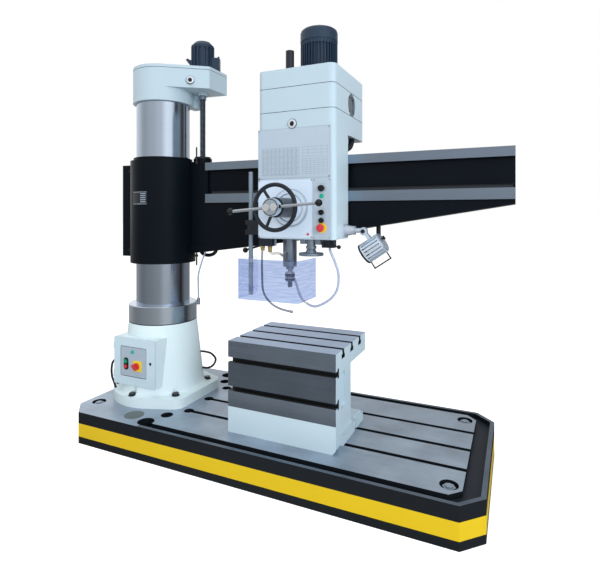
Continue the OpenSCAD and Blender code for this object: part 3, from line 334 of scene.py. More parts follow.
def newGroup(name, inputs, outputs):
    group = bpy.data.node_groups.new(name, "ShaderNodeTree")
    for label, kind, value in inputs:
        socket = group.interface.new_socket(name=label, in_out="INPUT", socket_type=kind)
        socket.default_value = value
    for label, kind in outputs:
        group.interface.new_socket(name=label, in_out="OUTPUT", socket_type=kind)
    return group, group.nodes.new("NodeGroupInput").outputs, group.nodes.new("NodeGroupOutput")


sprayLook = dict(drift=(3.1, 4.0), grit=(41.0, 6.0), peelDetail=2.0, dust="9a9c98", gritRough=0.1)


def paintGroup():
    # sprayed paint: slow drifts of tone, a fine orange-peel height, dust on faces that look up
    group, given, result = newGroup("sprayedPaint", [
        ("Color", colourSocket, midGrey), ("Drift", valueSocket, 0.06), ("Roughness", valueSocket, 0.4),
        ("Dust", valueSocket, 0.1), ("Peel", valueSocket, 260.0)], finishOutputs)
    place = objectPlace(group)
    slow = noise(group, place, *sprayLook["drift"])
    grit = noise(group, place, *sprayLook["grit"])
    peel = noise(group, place, given["Peel"], sprayLook["peelDetail"])
    upward = mathNode(group, "SMOOTH_MAX", normalOf(group)[2], 0.0)
    dust = times(group, times(group, upward, grit), given["Dust"])
    shade = times(group, minus(group, slow, 0.5), given["Drift"])
    coat = brighten(group, given["Color"], shade)
    rough = plus(group, given["Roughness"], times(group, grit, sprayLook["gritRough"]))
    feed(group, result, {"Color": mixColor(group, dust, coat, sprayLook["dust"]),
                         "Roughness": plus(group, rough, dust), "Height": peel})
    return group


toolLook = dict(streak=(1.0, 5.0), stain=(5.0, 7.0), clean=0.55, streakRough=0.4)


def toolGroup():
    # machined metal: streaks of noise drawn out along the tool's path, with slow stains over them
    group, given, result = newGroup("toolMarks", [
        ("Color", colourSocket, midGrey), ("Stretch", vectorSocket, (1, 1, 1)), ("Contrast", valueSocket, 0.3),
        ("Roughness", valueSocket, 0.3), ("Stain", valueSocket, 0.15)], finishOutputs)
    place = objectPlace(group)
    drawn = vectorNode(group, "MULTIPLY", place, given["Stretch"])[0]
    streak = noise(group, drawn, *toolLook["streak"])
    stain = noise(group, place, *toolLook["stain"])
    shade = times(group, minus(group, streak, 0.5), given["Contrast"])
    blot = times(group, minus(group, toolLook["clean"], stain), given["Stain"])
    rough = plus(group, given["Roughness"], times(group, shade, toolLook["streakRough"]))
    feed(group, result, {"Color": brighten(group, given["Color"], minus(group, shade, blot)),
                         "Roughness": rough, "Height": streak})
    return group


sprayedPaint = paintGroup()
toolMarks = toolGroup()


def sprayed(tree, color, rough=0.38, drift=0.06, dust=0.1, peel=260.0):
    values = {"Color": color, "Drift": drift, "Roughness": rough, "Dust": dust, "Peel": peel}
    return addNode(tree, "ShaderNodeGroup", values, node_tree=sprayedPaint).outputs


def tooled(tree, color, stretch, rough=0.3, contrast=0.3, stain=0.15):
    values = {"Color": color, "Stretch": stretch, "Contrast": contrast, "Roughness": rough, "Stain": stain}
    return addNode(tree, "ShaderNodeGroup", values, node_tree=toolMarks).outputs


def dress(piece, material):
    piece.data.materials.clear()
    piece.data.materials.append(material)


def newMaterial(name, build, on="", metallic=0.0, bump=0.03, gloss=0.5, **values):
    # a material put on its nodes: build gives its colour, roughness and height, and other inputs of the shader
    material = bpy.data.materials.new(name)
    material.use_nodes = True
    tree = material.node_tree
    coat, others = build(tree, **values)
    relief = addNode(tree, "ShaderNodeBump", {"Strength": bump, "Distance": mm, "Height": coat["Height"]})
    feed(tree, tree.nodes["Principled BSDF"], {
        "Base Color": coat["Color"], "Roughness": coat["Roughness"], "Normal": relief.outputs[0],
        "Metallic": metallic, "Specular IOR Level": gloss, **others})
    for node in on.split():
        dress(nodes[node], material)
    return material


def splitCoat(tree, bare, painted, planed, metallic):
    # paint where the mask is 0, planed metal where it is 1
    color = mixColor(tree, bare, painted["Color"], planed["Color"])
    rough = mixValue(tree, bare, painted["Roughness"], planed["Roughness"])
    coat = {"Color": color, "Roughness": rough, "Height": planed["Height"]}
    return coat, {"Metallic": times(tree, bare, metallic)}


def paintCoat(tree, code, coat=0.0, **values):
    return sprayed(tree, code, **values), {"Coat Weight": coat}


def metalCoat(tree, code, **values):
    return tooled(tree, code, **values), {}


baseLook = dict(top="9aa8b7", rim="5c6876", channel="131b27", black="13181d", yellow="d3b318", topFrom=0.184,
                level=0.6, steep=0.5, band=(0.041, 0.120), rimFrom=0.24, rimSide=0.478, rimEnd=2.045, rimCorner=2.438,
                metallic=0.6, planed=dict(stretch=(3, 240, 3), rough=0.34, contrast=0.4, stain=0.9),
                paint=dict(rough=0.42, drift=0.1, dust=0.05, peel=200.0))


def baseCoat(tree, look=baseLook):
    # planed top with a darker rim, black channel and pockets, and a yellow band between two black ones on the sides
    x, y, z = placeOf(tree)
    facingUp = normalOf(tree)[2]
    level = over(tree, facingUp, look["level"])
    top = times(tree, level, over(tree, z, look["topFrom"]))
    band = times(tree, between(tree, z, *look["band"]), under(tree, unsigned(tree, facingUp), look["steep"]))
    across = unsigned(tree, y)
    rim = larger(tree, over(tree, across, look["rimSide"]), over(tree, x, look["rimEnd"]))
    rim = larger(tree, rim, over(tree, plus(tree, across, x), look["rimCorner"]))
    rim = times(tree, rim, over(tree, x, look["rimFrom"]))
    planed = tooled(tree, mixColor(tree, rim, look["top"], look["rim"]), **look["planed"])
    coat = mixColor(tree, level, look["black"], look["channel"])
    painted = sprayed(tree, mixColor(tree, band, coat, look["yellow"]), **look["paint"])
    return splitCoat(tree, top, painted, planed, look["metallic"])


# the darkest tone is painted shade inside the T-slots
tableLook = dict(grey="a9bbd6", scraped="545e69", high="65707c", low="737e8a", foot="606b76", slot="14181b",
                 white="bcd0db", bands=(0.428, 0.585), greyDown=0.329, front=-0.3355, slotBack=-0.2885, slotFoot=0.36,
                 slotLow=0.6405, top=0.6875, steep=0.5, metallic=0.6,
                 planed=dict(stretch=(3, 260, 260), rough=0.4, contrast=0.4, stain=0.4), paint=dict(rough=0.4))


def tableCoat(tree, look=tableLook):
    # machined top and front down to the paint line, painted shade inside the slots, paint on the rest
    _, y, z = placeOf(tree)
    top = over(tree, z, look["top"])
    front = times(tree, under(tree, y, look["front"]), over(tree, z, look["greyDown"]))
    bare = larger(tree, top, front)
    alongSlots = under(tree, unsigned(tree, normalOf(tree)[0]), look["steep"])
    frontSlots = times(tree, between(tree, y, look["front"], look["slotBack"]),
                       between(tree, z, look["slotFoot"], look["slotLow"]))
    topSlots = times(tree, over(tree, y, look["front"]), between(tree, z, look["slotLow"], look["top"]))
    slotShade = times(tree, alongSlots, larger(tree, frontSlots, topSlots))
    lowEdge, highEdge = look["bands"]
    lowTone = mixColor(tree, share(tree, z, look["greyDown"], lowEdge), look["foot"], look["low"])
    shown = mixColor(tree, under(tree, z, lowEdge), look["scraped"], lowTone)
    shown = mixColor(tree, over(tree, z, highEdge), shown, look["high"])
    planed = tooled(tree, mixColor(tree, front, look["grey"], shown), **look["planed"])
    painted = sprayed(tree, mixColor(tree, slotShade, look["white"], look["slot"]), **look["paint"])
    return splitCoat(tree, bare, painted, planed, look["metallic"])


hubPlace, spindlePlace = (1.066, 0.0, 1.417), (1.004, -0.096, 0.0)
leverLook = dict(ballFrom=0.2335, black="080b0f", steel="cfd6de",
                 marks=dict(stretch=(40, 400, 400), rough=0.16, contrast=0.08, stain=0.05))


def leverCoat(tree, look=leverLook):
    # bright bar with black balls at its ends, told apart by the distance from the hub
    ball = over(tree, unsigned(tree, minus(tree, placeOf(tree)[0], hubPlace[0])), look["ballFrom"])
    coat = tooled(tree, mixColor(tree, ball, look["steel"], look["black"]), **look["marks"])
    return coat, {"Metallic": minus(tree, 1.0, ball)}


# the tones up high and on the right side are painted shade and painted light: darker high on the front, lighter on the
# side and lighter still low on the side; corner, fall and step give where they blend
castingLook = dict(high="acbfca", side="bed3df", sideLowPaintedLight="d8ecf6", low="d3e4e9", seam="36424c", tube="161d25",
                   corner=(1.3, 1.335), fall=(1.9, 1.3), step=(0.7, 1.1), seams=(1.945, 2.078, 2.3288), half=0.0013,
                   tubeFrom=2.1815, paint=dict(rough=0.36, dust=0.08))


def castingCoat(tree, tubed=False, look=castingLook):
    # pale paint with painted light and shade: darker high up than low down, lighter on the head's right side past its
    # corner and lighter still low on that side; dark joint lines between the castings; the black spindle tube above the
    # head's top
    x, _, z = placeOf(tree)
    line = 0.0
    for level in look["seams"]:
        line = larger(tree, under(tree, unsigned(tree, minus(tree, z, level)), look["half"]), line)
    side = mixColor(tree, share(tree, z, *look["fall"]), look["side"], look["sideLowPaintedLight"])
    upper = mixColor(tree, share(tree, x, *look["corner"]), look["high"], side)
    coat = mixColor(tree, share(tree, z, *look["step"]), look["low"], upper)
    coat = mixColor(tree, line, coat, look["seam"])
    if tubed:
        coat = mixColor(tree, over(tree, z, look["tubeFrom"]), coat, look["tube"])
    return sprayed(tree, coat, **look["paint"]), {}


# the lamp's beam points left and down by the tilt; places in millimetres; the body's darker tone is painted shade
# between the fins
lampLook = dict(place=(1485, -60, 1200), tilt=34, mouth=61.8, knob=(-65.6, 16), wireFrom=0.0575, core=0.0528,
                body="dbe7f4", finShade="a3b0c2", wire="12162e", metallic=0.6,
                marks=dict(stretch=(90, 90, 90), rough=0.36, contrast=0.1, stain=0.1))
lampTilt = math.radians(lampLook["tilt"])
lampPlace = np.array(lampLook["place"])
lampBeam = np.array([-math.cos(lampTilt), 0, -math.sin(lampTilt)])
lampUp = np.array([-math.sin(lampTilt), 0, math.cos(lampTilt)])


def lampCoat(tree, look=lampLook):
    # cast aluminium with painted shade between the fins near its axis; the wire handle is told apart by how far it
    # hangs below
    arm = vectorNode(tree, "SUBTRACT", objectPlace(tree), (lampPlace * mm).tolist())[0]
    below = vectorNode(tree, "DOT_PRODUCT", arm, (-lampUp).tolist())["Value"]
    wire = over(tree, below, look["wireFrom"])
    off = vectorNode(tree, "LENGTH", vectorNode(tree, "CROSS_PRODUCT", arm, lampBeam.tolist())[0])["Value"]
    body = mixColor(tree, under(tree, off, look["core"]), look["body"], look["finShade"])
    coat = tooled(tree, mixColor(tree, wire, body, look["wire"]), **look["marks"])
    return coat, {"Metallic": times(tree, minus(tree, 1.0, wire), look["metallic"])}


def roundCoat(tree, code, rough, axis=2, centre=(0, 0, 0), rings=(), bands=(), flutes=0, stretch=(60, 60, 60)):
    # metal with other tones in rings of distance from its axis and in bands along it, as (from, to, tone);
    # flutes cut the bands into stripes round the axis
    place = placeOf(tree)
    u, v = (minus(tree, place[k], centre[k]) for k in range(3) if k != axis)
    off = mathNode(tree, "SQRT", plus(tree, times(tree, u, u), times(tree, v, v)))
    coat = code
    for low, high, tone in rings:
        coat = mixColor(tree, between(tree, off, low, high), coat, tone)
    for low, high, tone in bands:
        if flutes:
            wave = mathNode(tree, "SINE", times(tree, mathNode(tree, "ARCTAN2", v, u), flutes))
            tone = mixColor(tree, over(tree, wave, 0.5), tone, code)
        coat = mixColor(tree, between(tree, place[axis], low, high), coat, tone)
    return tooled(tree, coat, stretch, rough, contrast=0.1, stain=0.1), {}


valveLook = dict(steel="2b333c", brass="b39a63", brassUnder=1.2038, brassLeft=1.0,
                 marks=dict(stretch=(60, 60, 60), rough=0.4, contrast=0.2, stain=0.2))


def valveCoat(tree, look=valveLook):
    # dark steel blocks with brass pipe fittings under the left one
    x, _, z = placeOf(tree)
    brass = times(tree, under(tree, z, look["brassUnder"]), under(tree, x, look["brassLeft"]))
    return tooled(tree, mixColor(tree, brass, look["steel"], look["brass"]), **look["marks"]), {}


lensLook = dict(clear="dfe8ee", pale="e8f2fa", paleShare=0.4, alpha=0.45, alphaDrift=0.12, haze=(6.0, 4.0), rough=0.1)


def lensCoat(tree, look=lensLook):
    # clear glass: half transparent, with a faint cloudy tint so that it still shows on a pale ground
    haze = noise(tree, objectPlace(tree), *look["haze"])
    tint = mixColor(tree, times(tree, haze, look["paleShare"]), look["clear"], look["pale"])
    alpha = plus(tree, times(tree, haze, look["alphaDrift"]), look["alpha"])
    return {"Color": tint, "Roughness": look["rough"], "Height": haze}, {"Alpha": alpha}


guardLook = dict(clear="e6ecf6", cloudy="b3c0de", bare="f4f6fb", sheen=0.025, side=0.83, front=-0.298, rough=0.12,
                 stretch=(9, 9, 130), haze=(1.0, 6.0, 0.65))


def guardCoat(tree, look=guardLook):
    # clear sheet that tints what is behind it, with drawn-out cloudy streaks and a weak sheen; the left wing is bare
    haze = noise(tree, vectorNode(tree, "MULTIPLY", objectPlace(tree), look["stretch"])[0], *look["haze"])
    x, y, _ = placeOf(tree)
    left = times(tree, under(tree, x, look["side"]), over(tree, y, look["front"]))
    tint = mixColor(tree, left, mixColor(tree, haze, look["clear"], look["cloudy"]), look["bare"])
    clear = addNode(tree, "ShaderNodeBsdfTransparent", {"Color": tint})
    mixShaders(tree, look["sheen"], clear, tree.nodes["Principled BSDF"])
    return {"Color": tint, "Roughness": look["rough"], "Height": haze}, {}


glowLook = dict(cells=420.0, edge="202020", rough=0.15)


def glowCoat(tree, code, strength):
    # moulded lens with a weak light behind it
    cells = addNode(tree, "ShaderNodeTexVoronoi", {"Vector": objectPlace(tree), "Scale": glowLook["cells"]}).outputs[0]
    coat = {"Color": mixColor(tree, cells, code, glowLook["edge"]), "Roughness": glowLook["rough"], "Height": cells}
    return coat, {"Emission Color": code, "Emission Strength": strength}


paints = dict(
    doorPaint=dict(on="switch_door", code="bcd1dc", rough=0.36),
    armPaint=dict(on="arm_casting clamp_cover", code="090f16", rough=0.3, drift=0.2, dust=0.01, gloss=0.1),
    motorPaint=dict(on="lift_motor main_motor motor_fan_cover", code="203144", rough=0.4, drift=0.15, dust=0.03,
                    gloss=0.4),
    wheelBlack=dict(on="traverse_handwheel guard_clamp", code="131b24", rough=0.26, drift=0.1, dust=0.0),
    blackPlastic=dict(on="valve_lever reverse_lever speed_knob selector_knob push_button", code="0a0e13", rough=0.3,
                      drift=0.1, dust=0.0, peel=500.0),
    redPlastic=dict(on="main_switch stop_button stop_mushroom", code="c02c38", rough=0.25, drift=0.05, dust=0.02,
                    coat=0.3, peel=500.0),
    greenPlastic=dict(on="start_button", code="0a8f6c", rough=0.25, drift=0.05, dust=0.02, coat=0.3, peel=500.0),
    yellowPlastic=dict(code="ecc818", rough=0.35, drift=0.05, dust=0.03, peel=500.0),
    trayMetal=dict(on="switch_box", code="c0c4c6", rough=0.5),
    rubberSkin=dict(on="foot_cables arm_hose head_conduits", code="10161e", rough=0.45, drift=0.2, dust=0.02,
                    bump=0.08, peel=400.0),
    paleHose=dict(on="clamp_hose", code="b0bad2", rough=0.35, drift=0.1, dust=0.05, peel=400.0),
    sightGlass=dict(code="0b0e11", rough=0.1, drift=0.2, dust=0.0),
    inkLines=dict(code="5f6b79", rough=0.5, drift=0.1, dust=0.0),
)
metals = dict(
    blackSteel=dict(on="foot_bolts lift_nut limit_rod traverse_rack", code="33373b", stretch=(60, 60, 60),
                    rough=0.42, contrast=0.2, metallic=0.6),
    columnSteel=dict(on="outer_column inner_column", code="b4c1d1", stretch=(4, 4, 420), rough=0.17, contrast=0.12,
                     stain=0.08, bump=0.02),
    quillSteel=dict(on="quill", code="5d6874", stretch=(30, 30, 500), rough=0.36, contrast=0.2),
    coverSteel=dict(code="6d7986", stretch=(60, 60, 60), metallic=0.8),
    groundSteel=dict(on="guideways", code="92a1b3", stretch=(3, 300, 300), rough=0.36, contrast=0.25),
    turnedSteel=dict(on="transfer_shaft spindle_gear motor_gear", code="929caa", stretch=(30, 30, 500),
                     contrast=0.25),
    darkIron=dict(on="fine_feed_housing fine_feed_wheel", code="93a1b0", stretch=(60, 60, 300), rough=0.36,
                  contrast=0.25, metallic=0.8),
    chromePlate=dict(on="coolant_pipe", code="d3dae2", stretch=(20, 20, 20), rough=0.12, contrast=0.06, stain=0.05,
                     bump=0.01),
    brightRim=dict(code="dde4ea", stretch=(20, 20, 20), contrast=0.06, metallic=0.5),
    bearingBronze=dict(on="column_bearings", code="a98a4c", stretch=(30, 30, 500), rough=0.35),
    castLamp=dict(on="lamp_arm lamp_bracket", code="c9d2de", stretch=(90, 90, 90), rough=0.38, contrast=0.15,
                  metallic=0.6),
    plateMetal=dict(on="control_panel", code="b7c7d6", stretch=(4, 4, 600), rough=0.38, contrast=0.08, stain=0.05,
                    metallic=0.35),
    dialPlateMetal=dict(code="cfe0f2", stretch=(4, 4, 600), rough=0.38, contrast=0.08, stain=0.05, metallic=0.2),
    oliveDisc=dict(code="656f70", stretch=(200, 3, 3), rough=0.5, stain=0.5, metallic=0.5),
)
# the rod, the spindle, the chuck and the coolant hose are painted paler where the tinted guard covers them: painted
# light that offsets the guard's tint and stands in for its haze
rounds = dict(
    rodSteel=dict(on="guard_rod levelling_screws", code="8492a1", rough=0.34, metallic=0.4,
                  bands=[(0.5, 1.126, "efe7d6")], stretch=(20, 20, 300)),
    spindleSteel=dict(on="spindle", code="8d99a6", rough=0.3, metallic=0.8, bands=[(0.9, 1.1137, "fff6e6")]),
    clearHose=dict(on="coolant_hose", code="b4bed6", rough=0.35, metallic=0.0, axis=0,
                   bands=[(0.85, 1.085, "fff6e6")]),
    dialMetal=dict(on="feed_dial", code="c9d8e8", rough=0.34, metallic=0.15, axis=1, centre=hubPlace,
                   rings=[(0.0955, 0.2, "93a1b1"), (0.0735, 0.0785, "75818f")]),
    hubSteel=dict(on="feed_hub", code="c6d2de", rough=0.16, axis=1, centre=hubPlace,
                  rings=[(0.0385, 0.0425, "39434d")], bands=[(-0.5, -0.4512, "eef3f8")]),
    chuckSteel=dict(on="chuck", code="fff4e2", rough=0.25, metallic=0.6, centre=spindlePlace, flutes=16,
                    bands=[(1.0065, 1.0155, "161a20"), (1.0265, 1.0435, "161a20"), (0.9, 0.9985, "a09c94")]),
    # the lead screw is darker within 18.4 mm of its axis: painted shade in the thread's roots
    screwSteel=dict(on="lead_screw", code="a6b3c1", rough=0.3, centre=(0.232, 0.128, 0.0),
                    rings=[(0.0, 0.0184, "2c3641")]),
    # the dark band at the bottom of the clamp ring is a painted shadow line
    ringSteel=dict(on="clamp_ring", code="c4d0dd", rough=0.24, bands=[(0.6, 0.6795, "161b21")], stretch=(4, 4, 300)),
)
glows = dict(greenGlow=dict(code="0fae8c", strength=0.35), redGlow=dict(code="e0282c", strength=0.3))
others = dict(
    # the castings' finish is pale paint with painted light and shade on it
    palePaintWithShade=dict(on="column_foot top_cap head_casing head_middle", build=castingCoat),
    headCoverPaintWithShade=dict(on="head_cover", build=castingCoat, tubed=True),
    basePaintwork=dict(on="base_casting", build=baseCoat, bump=0.05, gloss=0.15),
    tableSurfaces=dict(on="box_table", build=tableCoat, bump=0.05),
    feedLeverFinish=dict(on="feed_levers", build=leverCoat, bump=0.02),
    lampFinish=dict(on="lamp_head", build=lampCoat),
    valveFinish=dict(on="coolant_valve", build=valveCoat, metallic=0.6, bump=0.04),
    guardSheet=dict(on="guard_shield", build=guardCoat, bump=0.01),
    lensGlass=dict(build=lensCoat, bump=0.01),
)
looks = {}
for table, usual in ((paints, dict(build=paintCoat)), (metals, dict(build=metalCoat, metallic=1.0, bump=0.05)),
                     (rounds, dict(build=roundCoat, metallic=1.0)), (glows, dict(build=glowCoat, bump=0.05)),
                     (others, dict())):
    for name, values in table.items():
        looks[name] = newMaterial(name, **{**usual, **values})
for piece, look in cordPieces:
    dress(piece, looks[look])
print("materials made:", len(looks))


def add(piece, body, look):
    dress(piece, looks[look])
    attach(piece, body)


# lead screw with its thread cut in: the radius falls from crest to root once in each pitch
screwLook = dict(place=(232, 128), bottom=1180, top=2165, step=1.6, crest=20, root=16, pitch=8, rootHalf=0.15, slope=5,
                 sides=24, collar=[(17, 0), (24, 0), (24, 68), (17, 68)])


def leadScrew():
    s = screwLook
    x, y = s["place"]
    z = np.arange(s["bottom"], s["top"] + 0.1, s["step"])[:, None]
    a = circle(s["sides"])
    phase = (z / s["pitch"] - a / (2 * np.pi)) % 1
    flank = np.clip((np.abs(phase - 0.5) - s["rootHalf"]) * s["slope"], 0, 1)
    r = s["root"] + (s["crest"] - s["root"]) * flank
    grid = np.stack([x + r * np.cos(a), y + r * np.sin(a), np.broadcast_to(z, r.shape)], -1)
    piece = meshPiece("leadScrewThread", grid * mm, gridFaces(len(z), s["sides"]))
    collar = turned("leadScrewCollar", s["collar"], (x, y, s["top"]), toTop)
    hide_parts("lead_screw")
    add(piece, "lead_screw", "screwSteel")
    add(collar, "lead_screw", "darkIron")


leadScrew()

# plates on the head's front, as (left, right, bottom, top): the chart plate above, the dial plate below
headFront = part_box("head_casing")[0].y / mm
plateShape = dict(thick=1.5, corner=3, bevel=0.4)
plates = dict(
    chartPlate=dict(box=(865, 1299, 1577, 1853), look="plateMetal"),
    dialPlate=dict(box=(865, 1198, 1252, 1573), look="dialPlateMetal"),
)
# printed lines: tables as (left, right, bottom, top, rows, columns) from the chart plate's lower left corner
chart = dict(tables=((24, 250, 18, 168, 14, 9), (272, 416, 22, 104, 7, 6), (272, 340, 116, 168, 3, 2),
                     (352, 416, 116, 168, 3, 2)),
             border=3, half=0.35, depth=(1.65, 1.4), strokeFrom=0.22, strokeLong=13, strokeStep=3, strokeHalf=1.1)


def headPlates():
    for name, plate in plates.items():
        x0, x1, z0, z1 = plate["box"]
        piece = platePiece(name, (x1 - x0, z1 - z0, plateShape["thick"]), plateShape["corner"], plateShape["bevel"],
                           ((x0 + x1) / 2, headFront, (z0 + z1) / 2))
        add(piece, "head", plate["look"])


def chartLines():
    # ruled tables, a border on each plate, and strokes of three lengths in the first table's cells
    low, high = [], []
    near, far = (headFront - depth for depth in chart["depth"])

    def bar(x0, x1, z0, z1):
        low.append((x0, near, z0))
        high.append((x1, far, z1))

    def rules(left, right, bottom, top, rows, cols):
        half = chart["half"]
        for z in np.linspace(bottom, top, rows + 1):
            bar(left, right, z - half, z + half)
        for x in np.linspace(left, right, cols + 1):
            bar(x - half, x + half, bottom, top)

    x0, _, z0, _ = plates["chartPlate"]["box"]
    for left, right, bottom, top, rows, cols in chart["tables"]:
        rules(x0 + left, x0 + right, z0 + bottom, z0 + top, rows, cols)
    for plate in plates.values():
        left, right, bottom, top = plate["box"]
        edge = chart["border"]
        rules(left + edge, right - edge, bottom + edge, top - edge, 1, 1)
    left, right, bottom, top, rows, cols = chart["tables"][0]
    for k in range(rows):
        for c in range(cols):
            x = x0 + left + (c + chart["strokeFrom"]) * (right - left) / cols
            z = z0 + bottom + (k + 0.5) * (top - bottom) / rows
            length = chart["strokeLong"] - chart["strokeStep"] * ((k * 5 + c * 3) % 3)
            bar(x, x + length, z - chart["strokeHalf"], z + chart["strokeHalf"])
    add(barGroup("chartLines", low, high), "head", "inkLines")


headPlates()
chartLines()

# oil sight glasses: a turned rim round a dark domed glass, on a black edge ring
sightParts = dict(
    Rim=dict(shape=[(24, 0), (24, 5), (22, 8), (15, 9), (13, 6), (13, 2)], look="brightRim", slot="chrome"),
    Glass=dict(shape=[(12.9, 1), (12.9, 4), (10, 5.4), (5, 6.2), (1, 6.4)], look="sightGlass", slot="clear_sheet"),
    Edge=dict(shape=[(27, 0), (27, 1.6), (24, 2)], look="wheelBlack", slot="black_steel"),
)


def sightGlass(name, place, direction, body, scale=1.0):
    for part, p in sightParts.items():
        add(turned(name + part, np.array(p["shape"]) * scale, place, direction, 40), body, p["look"])


sightGlass("headSight", (1076, headFront, 1874), toFront, "head")

# the cap's sight glass sits on its boss: the tangent from the cap's box corner to its round part gives the leaning face
capShape = dict(radius=195, corner=(360, 26), along=180, height=2251, boss=8, scale=0.98)


def capSight():
    cx, cy = capShape["corner"]
    turn = math.atan2(cy, cx) - math.acos(capShape["radius"] / math.hypot(cx, cy))
    fx, fy = capShape["radius"] * math.cos(turn), capShape["radius"] * math.sin(turn)
    lean = math.atan2(cy - fy, cx - fx)
    along = capShape["along"] * np.array([math.cos(lean), math.sin(lean), 0])
    normal = np.array([math.sin(lean), -math.cos(lean), 0])
    centre = along + (fx, fy, capShape["height"])
    sightGlass("capSight", centre + capShape["boss"] * normal, normal, "column", capShape["scale"])


capSight()

# small blank plate on the sleeve, with two rules and five lines on it; angles in degrees
sleevePlate = dict(radius=213.0, lift=0.9, ink=0.3, middle=-94, span=34, low=1444, high=1530, cols=13,
                   ruleInset=1, ruleFrom=4, ruleHigh=2, lines=5, lineAngles=(14, 3), lineFrom=16, linePitch=13,
                   lineHigh=4)


def curvedPatch(name, first, last, low, high, lift):
    # a closed shell between two radii over an angle and a height
    cols, inner = sleevePlate["cols"], sleevePlate["radius"]
    a = np.radians(np.linspace(first, last, cols))[:, None]
    r = np.array([inner, inner + lift, inner + lift, inner])
    z = np.broadcast_to([low, low, high, high], (cols, 4))
    return meshPiece(name, np.stack([r * np.cos(a), r * np.sin(a), z], -1) * mm, gridFaces(cols, 4), smooth=False)


def armPlate():
    q = sleevePlate
    first, last = q["middle"] - q["span"] / 2, q["middle"] + q["span"] / 2
    plate = curvedPatch("sleevePlate", first, last, q["low"], q["high"], q["lift"])
    add(plate, "arm", "wheelBlack")
    printed = {}
    for k, z in enumerate((q["low"] + q["ruleFrom"], q["high"] - q["ruleFrom"] - q["ruleHigh"])):
        printed[f"sleevePlateRule{k}"] = (first + q["ruleInset"], last - q["ruleInset"], z, z + q["ruleHigh"])
    start, end = q["lineAngles"]
    for k in range(q["lines"]):
        z = q["low"] + q["lineFrom"] + q["linePitch"] * k
        printed[f"sleevePlateLine{k}"] = (last - start, last - end, z, z + q["lineHigh"])
    for name, patch in printed.items():
        add(curvedPatch(name, *patch, q["lift"] + q["ink"]), "arm", "plateMetal")


armPlate()

# printed ticks on a circle round each knob of the control panel; knobs as (height, radius)
panel = dict(x=1250, face=headFront - 4, knobs=((1519, 22), (1392, 19)), gap=5, half=1.2, proud=0.2, sunk=0.1)


def legendTicks():
    low, high = [], []
    half = panel["half"]
    for level, radius in panel["knobs"]:
        for a in np.radians(np.arange(-120, 121, 30) + 90):
            reach = radius + panel["gap"]
            x, z = panel["x"] + reach * math.cos(a), level + reach * math.sin(a)
            low.append((x - half, panel["face"] - panel["proud"], z - half))
            high.append((x + half, panel["face"] + panel["sunk"], z + half))
    add(barGroup("knobLegend", low, high), "head", "inkLines")


legendTicks()

# switch door: gasket and silver panel in its recess, button collar, yellow switch plate; size is width, height, depth
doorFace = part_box("switch_door")[0].y / mm
doorRecess = doorFace + 2
doorPlates = dict(
    doorGasket=dict(size=(211, 189, 0.7), corner=9.4, bevel=0.2, at=(-7, doorRecess, 451), look="rubberSkin",
                    slot="hose_black"),
    doorPanel=dict(size=(205, 183, 1.2), corner=8, bevel=0.3, at=(-7, doorRecess, 451), look="plateMetal",
                   slot="panel_plate"),
    buttonCollar=dict(size=(38, 76, 3.4), corner=16, bevel=1.2, at=(-66, doorRecess - 1, 435.5), look="blackPlastic",
                      slot="black_plastic"),
    switchPlate=dict(size=(66, 66, 4.4), corner=5, bevel=1, at=(27, doorRecess - 1, 429), look="yellowPlastic",
                     slot="panel_plate"),
)
for name, p in doorPlates.items():
    add(platePiece(name, p["size"], p["corner"], p["bevel"], p["at"]), "door", p["look"])

